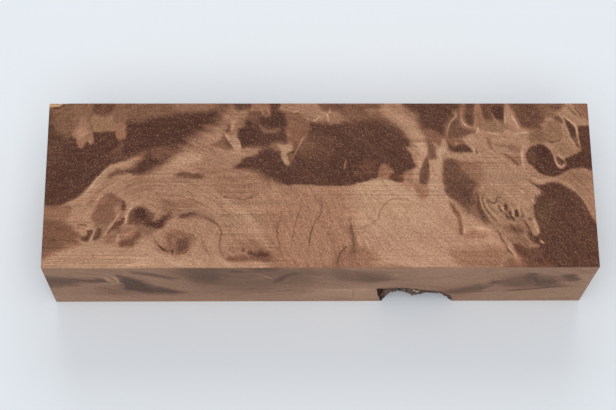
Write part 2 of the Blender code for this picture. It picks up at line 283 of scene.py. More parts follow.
    (0.46, 0, 0.9, 0.9, ((1.8, 19), (3, 19.4), (4.6, 18.4), (5.2, 17), (3.4, 16.5), (2, 16.8))),
    # The pale shoulder between the two dark grounds of the middle right
    (0.15, 0.05, 2.6, 1, (
        (21.6, 24), (36, 24), (34.8, 19.4), (33.4, 17), (32.6, 15), (32.3, 13.6), (31.1, 13.4),
        (29.4, 14.5), (27.3, 15), (25.6, 16.9), (24.4, 19.2), (22.7, 20.4))),
    (0.33, 0.35, 1.4, 0.9, (
        (25.6, 15.6), (29.4, 14.6), (32.6, 13.8), (32.2, 11.4), (30.6, 11), (29.4, 11.6), (28, 9.6),
        (27, 12))),
    (0.56, -0.05, 1.8, 1, (
        (15.5, 20.6), (18, 23), (19.9, 23), (20.9, 21), (22.2, 20), (23.9, 19.2, 1.2), (24.5, 17.6, 1.2),
        (25.4, 16.2, 1.2), (26.4, 14.4, 1.2), (27, 12.6, 1), (27.6, 10.8, 0.8), (28, 9.4, 0.7),
        (27.6, 8, 0.6), (26.9, 7.4, 0.6), (26.4, 6.2, 0.6), (25.9, 4.8, 0.5), (25.3, 4.1, 0.4),
        (25, 4.8, 0.5), (24.1, 5.7, 0.8), (23.8, 7.1, 1), (23.4, 9, 1.2), (22.8, 10.8), (22.4, 12.7),
        (21.2, 14.8), (19.9, 16.4), (18.5, 17.6), (16.6, 19))),
    (0.66, -0.1, 1.8, 0.7, (
        (19.4, 19.8), (22, 19.4), (24.2, 16.4), (25.4, 13.6), (23.6, 13.6), (21.4, 16.6))),
    (0.76, -0.1, 1.2, 0.85, ((24.6, 11), (26.1, 11.5), (27.4, 9.8), (27.3, 8.3), (26.2, 7.4), (25.4, 8.9))),
    (0.66, -0.05, 0.7, 0.9, ((25.3, 7.4), (26.6, 7.6), (26.2, 5.8), (25.4, 4.4), (25.1, 5.6))),
    (0.62, 0.1, 0.8, 0.9, ((23.9, 3.6), (25.3, 4.1), (25.5, 3), (25.1, 1.7), (24.7, 0.6), (23.7, 1.2))),
    (0.27, 0.15, 0.8, 0.9, (
        (27.9, 10.8), (29.3, 10.8), (29.9, 9), (29.9, 7.1), (28.8, 6.2), (28.1, 6.8), (27.7, 8))),
    (0.45, 0.5, 1.4, 0.85, ((24.6, 0.2), (27.6, 0.4), (27.8, -3.6), (26, -4.6), (24.6, -3))),
    (0.67, -0.05, 0.8, 1, (
        (28.3, 6.2), (30.3, 6.8), (31.4, 6.4), (31.1, 2.9), (31.2, 0.6), (31.8, -1.6), (32.8, -5),
        (28.9, -6, 2), (28.3, -2), (28, 0.6, 0.5), (28.3, 4, 0.4))),
    (0.26, -0.3, 0.5, 1, (
        (26.1, 4.6), (27.1, 7.1), (27.6, 7.6), (27.9, 6.7), (28.2, 4.6), (28, 2.5), (27.7, 0.4),
        (26.9, -0.1, 0.8), (25.8, 0.5, 0.7), (25.5, 1.8, 0.7), (25.8, 3.5))),
    (0.18, 0, 0.9, 0.8, ((25.9, 2), (27.8, 2.4), (27.6, 0.4), (26.2, 0.3))),
    # The forked ridges at the back right and the ground between them
    (0.19, 0.15, 1, 1, (
        (37, 24), (40.4, 24), (40.2, 19), (40, 16.6), (38.6, 16.4), (37.4, 17.8), (37.4, 20))),
    (0.2, 0.1, 1.8, 0.9, ((33.6, 17), (36, 18.6), (37, 16.4), (40, 14.6), (36, 12.4), (33.2, 12.4))),
    (0.42, 0.4, 0.9, 0.9, ((36.2, 24), (37.9, 24), (37.6, 19.4), (37, 17.6), (36.4, 18.4), (36.6, 20.6))),
    (0.2, 0.2, 0.5, 0.9, ((35.7, 20.8), (36.3, 20.6), (36.4, 18.8), (35.9, 18.2))),
    (0.45, 0.4, 0.9, 0.95, ((40.4, 24), (42.3, 24), (42.4, 17), (41.8, 15.4), (40.8, 15.4), (40.5, 19))),
    (0.2, 0.2, 1, 0.95, ((42.5, 24), (47.8, 24), (47.8, 17.6), (45.6, 17.6), (42.6, 17.2))),
    (0.08, 0.1, 0.9, 0.9, ((45, 21.4), (47.6, 21.2), (47.7, 18), (46, 17.7), (45.2, 19))),
    (0.41, -0.3, 1, 0.85, ((42.4, 17.2), (47.8, 17.4), (48.2, 14.6), (43, 14.6))),
    (0.19, 0.3, 2, 0.95, (
        (49.6, 24), (59.4, 24), (59, 19), (58, 16.6), (57.6, 14.8), (53, 15.4), (51.6, 16.6),
        (50.8, 19.6))),
    (0.34, -0.4, 1.4, 0.8, ((57.6, 23), (62.4, 23), (62, 19.6), (60.4, 18.6), (57.8, 19.4))),
    (0.58, -0.1, 1.6, 0.95, (
        (37.4, 13.4, 1), (40, 13.8, 1), (42.4, 14.4, 0.6), (46.9, 13.9, 0.6), (49.2, 13.9),
        (53.4, 14.4, 0.6), (54.2, 13.4, 0.6), (53.2, 10.6, 0.6), (52.3, 8.6, 0.5), (52.4, 5.6, 0.5),
        (53, 4, 0.7), (56, 1.9, 0.7), (57, 1), (53, -6), (44, -4), (40, 3), (39.4, 7), (40.2, 9.6),
        (38, 11.2))),
    (0.37, -0.1, 0.6, 0.9, ((43.3, 12.8), (44, 12.4), (44.7, 10.4), (45, 9.4), (44, 9.8), (43.4, 11.4))),
    (0.44, 0.5, 1.2, 0.6, ((48.8, 10.6), (51.4, 10.2), (51.2, 8.6), (49, 8.8))),
    (0.38, 0.3, 0.8, 0.85, ((47, 8.4), (49.6, 7.4), (51.7, 7.2), (51.8, 5), (50.8, 4.6), (48.6, 5.8))),
    (0.14, 0.05, 0.8, 1, (
        (32.7, 12.4, 0.5), (33.6, 11, 0.5), (34.6, 10.4), (36.4, 10.9), (37.6, 10.6), (38.6, 9.8),
        (39.4, 8.9, 0.4), (39.1, 8.5, 0.5), (36.2, 8.5), (33.9, 8.9), (33, 10.4))),
    (0.3, 0.15, 0.9, 0.8, ((33.4, 12), (36.4, 12.4), (37.4, 11), (35, 10.6), (34, 10))),
    (0.66, 0, 0.8, 0.8, ((37, 12.6), (40, 13), (40.4, 11.4), (39, 10.8), (37.6, 11.4))),
    (0.8, -0.05, 0.9, 0.95, ((30.2, 9.4), (31.6, 10.8), (32.3, 9.6), (32.6, 7.4), (31.4, 6.8), (30.2, 7.6))),
    (0.62, 0.1, 0.8, 0.9, ((31.6, 12.6), (32.4, 12.4), (32.6, 10.2), (31.5, 10))),
    (0.6, -0.1, 0.9, 0.9, (
        (31.4, 8.4), (35, 7.9), (38.6, 7.8), (40.2, 7.2), (39.6, 6.5), (36, 6.7), (31.4, 6.9))),
    (0.24, -0.1, 2.6, 1, (
        (31.7, 6.4, 1.2), (36, 6.3, 0.9), (38.6, 5.4, 2.4), (40, 1, 2.4), (39, -3, 1.6), (38.8, -6),
        (38, -9), (35.6, -5.6, 1), (32.8, -3.4, 1), (31.4, 1, 1))),
    (0.43, 0.35, 1.8, 0.8, ((36.4, 6), (41, 5.8), (41.6, 1.6), (39.6, 0.6), (37, 3))),
    (0.17, 0.1, 2.4, 0.8, ((32.6, 0.4), (36, 0), (38.4, -2), (38, -6), (35.4, -4), (33, -2.6))),
    # The hooked dark disc and the belt that runs from it to the right end
    (0.34, -0.4, 1.2, 0.9, (
        (54.6, 14.4), (57.8, 14.8), (58.6, 12.4), (57, 11.4), (54.6, 11.6), (53.6, 12.8))),
    (0.11, 0.15, 0.6, 1, (
        (53.6, 9.5, 0.8), (55.1, 10.8, 1.4), (57.2, 10.9, 1), (58.8, 9.9), (59.6, 8.5, 0.4),
        (60.3, 7.2, 0.4), (60.6, 5.4, 0.4), (61.5, 4.1, 0.4), (62.4, 3.9, 0.5), (63.2, 5.2, 0.5),
        (63, 6.8, 0.5), (64.2, 7.6, 0.8), (66.3, 8.8, 0.9), (67.3, 10, 0.4), (67, 12.4, 0.4),
        (66.8, 14.4, 0.4), (67, 15.9, 0.6), (68.4, 16.4), (74, 16.6), (74, 3.6), (70, 3.8), (67, 4.4, 1),
        (63.9, 3.5, 0.8), (61.8, 2.4), (59.7, 1.8), (57.6, 2.2), (56, 3.1), (54.9, 4.7), (53.3, 6, 0.7),
        (52.9, 7.8, 0.5))),
    (0.05, -0.3, 1.2, 0.8, ((56, 9.6), (57.6, 10.2), (58.8, 8.8), (58, 7.6), (56.4, 8))),
    (0.2, 0.1, 1.4, 0.8, ((53.2, 7), (54, 9.4), (55.2, 9.6), (55.6, 7.4), (54.6, 5.4))),
    (0.19, 0.1, 1.8, 0.7, ((67.6, 14.6), (70, 15), (71, 10), (68, 9.6))),
    (0.43, -0.45, 1.2, 0.95, (
        (58, 12.6), (58.4, 15, 1), (59.4, 17.4, 1.2), (61, 17.8, 1.2), (62.6, 16.4), (63, 14.6, 0.4),
        (62.4, 12.6, 0.4), (61, 11.7, 0.4), (59, 11.7))),
    (0.52, -0.35, 0.5, 1, (
        (64, 14.4), (64.6, 12), (66.4, 10), (67.5, 9.7), (67.2, 9, 0.7), (64.9, 8.4, 0.8), (62.4, 7.7, 0.6),
        (60.8, 7.9), (60, 8.7), (60.2, 10.6, 1), (62, 11.5), (63, 13.2), (63.2, 15.6))),
    (0.24, -0.2, 0.6, 0.9, ((61, 18.4), (62.4, 19.2), (63.4, 17.2), (62.8, 16.8), (61.4, 17.6))),
    (0.57, -0.1, 0.7, 1, (
        (63, 19.4), (63.9, 20.6), (65.1, 21.2), (66.8, 20.2), (68, 18.2), (69.8, 18.4), (71, 18),
        (71, 16.6), (68.4, 16.3), (67.2, 15.9), (65.6, 16.9), (64, 18))),
    (0.4, 0.5, 1, 0.85, ((64.8, 24), (72, 24), (72, 18.2), (68.4, 18.6), (67, 20.8))),
    (0.12, 0.1, 0.45, 1, (
        (63.2, 18.4), (64.6, 17.3), (65.8, 15.9), (66.4, 14.4), (66.5, 12.1), (67, 10.1), (66.4, 10.4),
        (65.3, 11.9), (64.5, 13.9), (64, 16.2))),
    (0.3, -0.5, 0.6, 0.7, ((65.2, 12.8), (66.3, 13), (66.6, 11), (65.8, 11.4))),
    (0.25, 0.1, 1.2, 0.8, ((59.6, 24), (64, 24), (63.4, 21.4), (61, 20.6))),
    (0.19, -0.5, 0.5, 1, ((61, 7.6), (62, 7), (62.9, 6), (62.7, 5.2), (62, 4.9), (61.3, 5.6), (60.9, 6.6))),
    (0.55, 0, 0.45, 0.9, ((61.5, 8), (62.4, 7.6), (63, 7.2), (62.7, 6.7), (62, 7.1))),
    (0.56, 0, 0.9, 0.95, (
        (49.6, 4.2), (52.6, 4), (55, 2.5), (57.6, 1.5), (60.6, 1.4), (63.6, 2.6), (66, 3.4), (66.4, 1.8),
        (63, 0.8), (58.6, 0.4), (55.4, 0.9), (52, 2.4))),
    (0.46, 0.1, 2, 0.95, (
        (64, 3), (67, 3.6), (72, 3), (73, -8), (70.6, -12), (69, -8.6), (67.4, -5), (64.8, -1.4),
        (62, 0.8))),
    (0.58, 0.15, 1.6, 0.7, ((67.6, 0), (70, -1), (70.6, -9), (68.8, -6.6), (67.4, -3))),
    # The swirl and the feathered wood beside it
    (0.53, -0.35, 1.6, 0.9, (
        (41.4, -1.4), (45, -1.4), (49, -3), (53.6, -3.4), (54, -8), (54.8, -12), (52.6, -14.6),
        (47.6, -15.4), (44.6, -12.6), (41.6, -9), (40, -5.6))),
    (0.57, -0.2, 1, 0.9, ((42.6, -2.2), (44.2, -1.8), (44.8, -3), (44.2, -4.4), (43, -4.2))),
    (0.6, -0.15, 1.4, 0.8, ((46.8, -1.4), (53, -1.6), (56, -2.4), (55, -4.4), (52.6, -6.4), (48, -4.4))),
    (0.33, 0.1, 1.4, 0.85, (
        (38.6, -2.6), (40.4, -2.4), (40.6, -6), (42, -9), (43, -11), (40.6, -10.2), (38.8, -7.6))),
    (0.32, 0.2, 1.6, 0.8, ((46.4, -11), (50.8, -11.4), (51.6, -13.4), (47.6, -13.2))),
    (0.36, -0.2, 1.6, 0.8, ((48, -14), (52, -13.6), (54, -15.4), (51.8, -16.8), (48.4, -16.4))),
    # The broad dark diagonal of the right end
    (0.15, 0.15, 1.2, 1, (
        (53.4, 1, 0.7), (55.6, -0.3, 0.6), (59.6, 0.2, 0.8), (63.2, -1.4, 0.8), (65.8, -3.4, 0.7),
        (67.6, -6.2, 0.6), (69, -9.4, 0.6), (71, -13.6), (74, -25), (52.6, -26), (51.8, -21, 3),
        (50.6, -18.4, 2), (52.6, -17.2, 1.6), (55.4, -16.8, 1.2), (53.2, -15.4), (53, -14.2),
        (54.6, -14, 0.6), (55.3, -13.4, 0.5), (55.4, -12, 0.5), (55.1, -10.8, 0.5), (54.7, -8.8, 0.6),
        (54.3, -6.6, 0.7), (54.8, -5.4, 1.2), (55.6, -4.2, 2), (56.4, -3, 1.6), (56.2, -2, 1),
        (55, -0.9, 0.6))),
    (0.21, -0.6, 2, 0.85, (
        (54.8, -5.8), (57.6, -4.6), (59.4, -6), (58.6, -10), (57, -13), (55.6, -12), (54.9, -9))),
    (0.24, 0.3, 1, 0.8, ((50.4, -16.8), (53, -17.2), (56, -18), (55, -20), (50, -18))),
    (0.2, 0.9, 1.2, 1, (
        (48.6, -16.6), (50.6, -16.8), (52.4, -18.6), (51.8, -20.2), (49.8, -19.6), (48.8, -18))),
    (0.28, 0.4, 1.6, 0.8, ((47, -20.4), (53, -20.6), (58, -22), (58, -25), (46, -25))),
    (0.68, 0.3, 0.7, 0.45, (
        (46.8, -16.3), (48.4, -16.6), (48.6, -17.6), (49.4, -19.4), (50.2, -21.6), (49.2, -21.6),
        (47.6, -18.4))),
    (0.68, 0.15, 2.4, 0.9, (
        (31, -4.4), (34, -7), (39, -10.4), (43, -12.8), (46.6, -18), (44, -19.6), (36, -18.4), (31, -14.6),
        (28.6, -9))),
    (0.32, 0.5, 0.9, 0.95, (
        (33.4, -5.4), (34.4, -6.6), (35.4, -9), (35.9, -12), (35.8, -13.8), (35, -13), (34.6, -10),
        (33.4, -7.4))),
    (0.44, 0.5, 0.9, 0.7, (
        (37, -12.8), (40, -12.8), (42, -13.8), (41.6, -14.8), (38, -14.6), (36.4, -14.4))),
    (0.67, 0.1, 1.2, 0.85, (
        (29.6, -12.4), (33, -13.2), (36.4, -14.4), (40.6, -15.2), (39.6, -17.2), (33.6, -16.6),
        (28.6, -15))),
    (0.44, 0.3, 2.4, 0.8, ((34, -17.6), (45.6, -17.2), (47, -20.4), (40, -22.6), (34.6, -21.4))),
    # The knot at the foot of the middle left, and the brown wood of the front edge
    (0.14, 0.3, 1.8, 0.95, (
        (-17.4, -18.4), (-15.6, -17.9), (-13.6, -18.6), (-13, -19.6), (-15, -20.2), (-17.4, -19.8))),
    (0.28, 0.5, 1.2, 0.9, (
        (-24, -19.6), (-20, -19.2), (-17.4, -19.6), (-12, -20), (-11.4, -20.8), (-17, -20.9),
        (-22, -20.9))),
    (0.42, 0.2, 1.8, 0.7, (
        (-23.6, -17.4), (-20.6, -15.4), (-17, -15.2), (-15.6, -16.8), (-18, -17.8), (-21.6, -18.6))),
    (0.22, 0.6, 0.5, 0.9, ((-20, -17.5), (-19.4, -17.6), (-19.2, -18.5), (-19.8, -18.4))),
    (0.22, 0.6, 0.5, 0.9, ((-18.7, -18.3), (-17.8, -18.2), (-17.6, -18.9), (-18.4, -19.2))),
    (0.46, 0.35, 3, 0.5, ((-14.4, -9.6), (-10, -9), (-9, -21.6), (-12, -22), (-13, -16))),
    (0.4, 0.35, 2.6, 0.75, ((3, -18.6), (6.6, -17), (12, -17.4), (14, -20.4), (12, -23.6), (2.6, -23.6))),
    (0.46, 0.35, 1.4, 0.6, ((-12, -21.8), (-4, -21.4), (8, -21.6), (20, -21.9), (20, -24), (-12, -24))),
    # The low corner that the saw left
    (0.74, -0.3, 0.3, 1, (
        (-74, 21.5), (-67.7, 21.55), (-67, 21.9), (-66.2, 22.2), (-65.2, 22.6), (-65, 27), (-74, 27))),
)

# A band is a brush stroke: shade, redness, width, softness, strength, path.
TOP_BANDS = (
    # The bright lip along the edge of the back left ground, and the thin dark lines beside it
    (0.6, -0.2, 1.5, 0.8, 0.9, (
        (-62.6, -5.2), (-61, -4), (-59.4, -2.6), (-57.8, -0.6), (-56.6, 1), (-55.2, 2.6), (-53.6, 4),
        (-51.6, 4.9), (-49.6, 5.6), (-47.8, 6.6))),
    (0.22, 0.15, 1.2, 0.9, 0.9, ((-54.8, 1.4), (-53, 2.6), (-51.4, 3.1), (-49.6, 3.3))),
    (0.25, -0.2, 0.45, 0.4, 0.7, ((-53.4, 3.7), (-51.6, 3.9), (-50, 3.7))),
    (0.48, 0.2, 1.6, 1.2, 0.6, ((-60, -5.6), (-57.6, -3.4), (-56, -1.4), (-54, 0.6), (-52, 1.8))),
    (0.36, 0.4, 0.9, 0.6, 0.8, ((-59.4, -5.9), (-58.4, -5.1), (-57.6, -4.3))),
    (0.27, 0.1, 0.6, 0.5, 0.8, ((-65.2, -6.2), (-64.2, -6.5), (-63.4, -7.1))),
    (0.28, 0, 1.1, 0.7, 0.9, ((-55.4, -3.9), (-53.6, -3.2), (-51.6, -3.9), (-50.2, -5.2), (-49.9, -6.6))),
    (0.14, 0.1, 0.9, 0.6, 0.95, ((-50.7, -4.6), (-50, -5.8), (-49.9, -6.6), (-50.2, -7.4))),
    (0.64, -0.1, 1.1, 1, 0.8, ((-45, -5), (-47.4, -5.1), (-48.8, -5.8))),
    # The dark S that runs from under eye B
    (0.1, 0.15, 1.5, 0.9, 0.95, (
        (-44.4, -10.6), (-42.6, -11.1), (-40.8, -10.9), (-39.6, -9.7), (-38.6, -8.5))),
    (0.42, 0.15, 1.4, 1.1, 0.8, (
        (-37.8, -8.7), (-35, -8.6), (-32, -8.1), (-29.6, -8.8), (-27.6, -9.8), (-26.2, -11))),
    (0.17, 0.1, 1, 0.8, 0.95, ((-36.2, -8.8), (-35, -8.4), (-33.4, -8), (-31.6, -7.9))),
    (0.5, 0.2, 1, 1.2, 0.6, ((-25.6, -11.6), (-25.2, -13.3), (-25.5, -16), (-25.2, -18.3), (-23.6, -20.1))),
    (0.21, 0.2, 1.5, 1, 0.95, ((-37.6, 2.4), (-35.6, 2.4), (-33.6, 2.2), (-31, 2.1), (-28.6, 2.8))),
    (0.44, 0.2, 1.2, 1.2, 0.7, ((-30, 2.6), (-28, 3.4), (-25, 3.6), (-22, 3.8))),
    # Eye F's inner ring, the dark between the rings, and the shafts
    (0.66, 0.15, 0.8, 0.5, 0.95, ((-22.9, 14), (-22.6, 15.6), (-22.1, 17.2), (-21.4, 18.6))),
    (0.24, 0.25, 0.8, 0.5, 0.95, ((-23.9, 13.9), (-23.5, 15.2), (-23.3, 16.7))),
    (0.55, 0.3, 0.5, 0.4, 0.8, ((-15.4, 21.2), (-15.2, 20), (-14.8, 19))),
    (0.55, 0.4, 0.5, 0.4, 0.8, ((-13.6, 22), (-13.5, 20.4), (-12.9, 18.8))),
    # Shafts and ripples of the right third
    (0.36, 0.1, 1.5, 1.4, 0.85, (
        (7.3, -9), (7.5, -12.4), (8.1, -14), (8.3, -16.4), (8.2, -18.6), (7.6, -20.6))),
    (0.48, 0.35, 1.6, 1.8, 0.4, ((-2.4, -9), (-3, -14), (-4, -21))),
    (0.7, 0, 1.8, 2, 0.6, ((-27, -3.4), (-21, -7), (-17, -11.4), (-13.7, -15.8))),
    (0.72, 0.1, 1.2, 1, 0.7, ((15, -20.4), (22, -21.4), (29, -21.8))),
    (0.3, 0.1, 0.5, 0.4, 0.9, ((38.4, -6.6), (38.9, -8.1), (39.8, -9.8))),
    (0.3, 0, 0.5, 0.4, 0.8, ((40.9, -3.2), (41.2, -5.4), (42.4, -7.4), (44, -9))),
    (0.62, 0, 0.45, 0.4, 0.8, ((41.4, -3.4), (41.8, -5.4), (43, -7.2))),
    (0.62, 0.1, 0.5, 0.4, 0.8, ((39.2, -6), (39.6, -7.6), (40.6, -9.4))),
    # The dark gaps of the feathered wood
    (0.2, 0, 0.5, 0.35, 0.95, ((45.2, -5.4), (45.8, -6.8), (46.6, -8))),
    (0.16, 0.1, 0.6, 0.35, 0.95, ((46.6, -7.2), (47.1, -8.4), (47.9, -9.8))),
    (0.16, 0.1, 0.6, 0.35, 0.95, ((48.3, -7.6), (48.8, -9), (49.4, -10.6))),
    (0.2, 0, 0.5, 0.35, 0.95, ((51, -6.6), (51.2, -8), (51.8, -9.6))),
    (0.2, 0, 0.6, 0.4, 0.95, ((51.6, -9.8), (52.2, -11.2), (53, -12.6))),
    (0.2, 0.1, 0.6, 0.4, 0.95, ((52.6, -12), (53.4, -13.6), (54.2, -15))),
    (0.26, 0, 0.5, 0.4, 0.9, ((49.4, -10.8), (50.4, -12.4), (51.6, -14))),
    (0.26, 0, 0.5, 0.4, 0.9, ((47.6, -10.6), (48.8, -12.2), (50, -13.6))),
    # The dark and bright arcs round the left of the swirl
    (0.24, 0, 0.45, 0.35, 0.7, ((41.6, -1.6), (41.2, -4), (41.8, -6.4), (43.4, -8.8), (45.2, -10.8))),
    (0.24, 0, 0.45, 0.35, 0.7, ((40.4, -1.8), (40, -4.4), (40.7, -7), (42.4, -9.6), (44.4, -11.8))),
    (0.2, 0.1, 0.5, 0.4, 0.75, ((39.2, -2.6), (39, -5), (39.6, -7.4), (41, -9.8), (43, -11.8))),
    (0.68, -0.2, 0.4, 0.3, 0.85, ((41, -2), (40.7, -4.2), (41.3, -6.8), (42.9, -9.2), (44.8, -11.2))),
    (0.68, -0.2, 0.4, 0.3, 0.85, ((42.2, -2.4), (41.9, -4.6), (42.6, -6.4), (44.2, -8.4), (46, -10))),
    # The gaps and spikes of the feathered wood
    (0.15, 0, 0.88, 0.36, 0.95, ((47.1, -5), (47.3, -6.4), (47.2, -7.8))),
    (0.14, 0, 1.1, 0.4, 0.95, ((48.2, -7.2), (48.6, -8.8), (49, -10.2))),
    (0.06, 0.2, 1, 0.36, 1, ((49.7, -6.9), (49.8, -8.2), (50, -9.4))),
    (0.15, 0, 0.56, 0.32, 0.9, ((50.6, -7.2), (50.9, -8.6), (51.2, -9.8))),
    (0.2, -0.2, 0.62, 0.32, 0.9, ((52.4, -8.4), (53, -9.4), (53.4, -10.2))),
    (0.2, 0, 0.62, 0.32, 0.8, ((45, -6), (45.8, -6.9), (46.4, -7.6))),
    (0.72, -0.2, 0.6, 0.32, 0.95, ((46.2, -6), (46.6, -7), (46.8, -8))),
    (0.74, -0.2, 0.6, 0.32, 0.95, ((48.6, -5.8), (48.9, -7.6), (49.1, -9.6))),
    (0.7, -0.3, 0.7, 0.32, 0.9, ((50.2, -5.6), (50.6, -7.4), (50.9, -9.2))),
    (0.66, -0.3, 1.2, 0.64, 0.8, ((51.4, -6), (52.2, -8), (53, -9.6))),
    (0.72, -0.1, 0.7, 0.4, 0.9, ((53.9, -9.2), (54.4, -10.6), (54.8, -11.8), (55, -13))),
    (0.76, 0, 0.6, 0.4, 0.9, ((55.8, -15.3), (56.3, -16), (56.7, -16.6))),
    (0.18, 0.2, 0.88, 0.48, 0.8, ((47.6, -11.4), (49.4, -12.4), (51.4, -13))),
    (0.2, 0.1, 0.75, 0.4, 0.8, ((52.4, -13), (53.2, -14.4), (54.2, -15.6))),
    (0.59, 0.1, 0.5, 0.32, 0.8, ((50.8, -13), (52, -14.6), (53.4, -15.9))),
)

# A growth line is a fine dark line of the year's end: strength, width, path.
TOP_GROWTH_LINES = (
    (0.5, 0.45, (
        (-30, 0.6), (-27.6, -0.8), (-25.6, -2.2), (-24, -3.4), (-21, -3.9), (-19.3, -4.2), (-17, -3.3),
        (-15.2, -2), (-13.9, -0.6))),
    (1, 0.5, ((-24.7, -2.9), (-24.3, -3.4), (-23.8, -3.7))),
    (0.6, 0.45, (
        (-31.8, -8.2), (-29.3, -9), (-27.3, -10), (-25.8, -11.6), (-25.1, -13.3), (-25.5, -15.9),
        (-25.3, -18.2), (-23.9, -20.1))),
    (0.4, 0.45, ((-31.4, -2.4), (-29.4, -3.4), (-27, -4.8), (-24.6, -7), (-22.4, -9), (-20.2, -11.3))),
    (0.6, 0.4, ((-34.1, -1.8), (-33.2, -2.3), (-32.2, -3.4))),
    (0.5, 0.4, ((-33.4, -3.8), (-32.2, -4.4), (-30.4, -5.6))),
    (0.7, 0.4, ((-41.9, -2), (-41.4, -2.5), (-41, -3.1))),
    (0.5, 0.45, (
        (-9.3, -6.7), (-10, -9), (-10.7, -10.9), (-11.1, -13.2), (-10.7, -16), (-10, -18.5),
        (-9.3, -20.9))),
    (0.5, 0.4, (
        (-4.6, -3.4), (-5.1, -6.7), (-5.6, -8.2), (-6.6, -11.3), (-6.9, -13.2), (-7.3, -15.9),
        (-7.5, -20.2))),
    (0.75, 0.4, (
        (0.3, -1), (0.2, -4), (0.1, -8.2), (-1.3, -9.8), (-1.8, -11.3), (-2.6, -13.6), (-2.9, -15.9),
        (-3.1, -18.2), (-3.5, -22))),
    (0.45, 0.7, ((7.3, -8.6), (7.5, -10.6), (7.9, -13.7), (8.2, -16.4), (8.3, -19.6))),
    (0.8, 0.4, ((7.2, -16.4), (6.7, -16.8), (5.6, -17.8), (4.7, -18.9), (4.2, -20.9), (3.7, -23))),
    (0.65, 0.4, (
        (8.6, -14.6), (9, -12.8), (10, -12.1), (11.8, -11.3), (13.7, -10.1), (14.8, -9.4), (14.9, -7.8),
        (15.8, -6.3), (16.9, -5), (18.4, -4.2), (21.3, -4.2), (23.5, -5.3), (25.7, -5.9), (29.4, -8.2))),
    (0.3, 0.4, ((9.4, -13.4), (11.4, -12.8), (13.4, -11.4))),
    (0.5, 0.4, ((21, -3.8), (22.6, -4.4), (24.4, -5))),
    (0.8, 0.4, ((-42.1, -14.5), (-41.3, -15.9), (-40, -17.3), (-38.7, -18.2))),
    (0.5, 0.4, ((-37, -18.8), (-35.6, -18.8), (-34, -18.2), (-32.8, -17))),
    (0.5, 0.4, ((-33.2, -13.2), (-32.2, -13.8), (-31.6, -15))),
    (0.4, 0.4, ((-31.1, -12.4), (-30, -15.1), (-29, -17.4), (-27.5, -19.7))),
    (1, 0.45, ((-37.7, -17.5), (-37.4, -18.2), (-37.1, -18.9))),
    (0.7, 0.4, ((-61.8, -11.1), (-60.4, -10.9), (-59.2, -11.3), (-58.9, -12))),
    (0.4, 0.35, ((-61.8, -12), (-60.4, -11.8), (-59.4, -12.4))),
    (0.35, 0.5, ((-70, -15.1), (-64, -15.2), (-60, -15.5))),
    (0.4, 0.4, ((-64, -18.6), (-58, -18.4), (-57, -19.4), (-56.4, -20.2))),
    (1, 0.55, (
        (43.3, -10.8), (44.5, -12.4), (45.2, -13.7), (45.5, -14.9), (46.2, -15.8), (46.7, -16.6),
        (47, -17.7), (47.9, -18.7), (48.8, -19.8), (49.6, -21.4))),
    (0.8, 0.45, ((39.6, -4.4), (39.8, -6), (40.1, -6.8), (40.9, -8.4), (41.9, -9.9), (43.4, -11))),
    (0.6, 0.4, ((40.1, -2.6), (40.4, -5), (41.2, -7.2), (42.4, -8.8), (44, -10.4))),
    (0.5, 0.4, ((42, -3), (42.4, -5.2), (43.4, -6.6), (45, -8.2))),
    (1, 0.45, ((42.4, -3.3), (43, -4.6), (43.9, -5.3), (44.7, -5.1), (45, -4.2), (44.9, -3.2))),
    (0.8, 0.4, ((45.2, -3.4), (45.8, -3.7), (46.2, -3.4))),
    (0.7, 0.4, ((53.8, -5.4), (54.4, -6), (54.7, -6.9))),
    (0.5, 0.4, ((48.4, -4.4), (48.8, -5.4), (48.9, -6.2))),
    (0.6, 0.4, ((58.4, 12), (59.4, 11.6), (60.8, 11.5), (62, 12.1), (62.8, 13.4))),
    (0.8, 0.4, ((64.4, 22), (65.4, 20.6), (66.4, 19.4), (67.6, 18.2))),
    (0.8, 0.4, ((66.2, 21.6), (67.2, 20.2), (68.4, 18.4))),
    (0.5, 0.35, ((44.4, 10.6), (46.4, 10.5), (49.6, 10.1), (51.2, 10.2))),
    (0.6, 0.4, ((44.9, 9.3), (47.5, 8), (49.2, 6.8), (50.6, 5.4), (51.8, 4.6))),
    (0.8, 0.45, ((39.8, 9.2), (40.4, 8.8), (40.8, 8))),
    (0.7, 0.4, ((-6.7, 9), (-7.4, 8.7), (-8.5, 8.3))),
    # Painted shade: a fine dark line along the edge of the low corner's step, drawn as a growth line
    (0.6, 0.5, ((-70, 21.2), (-67.8, 21.2), (-66.8, 21.6), (-65.6, 22.3))),
)

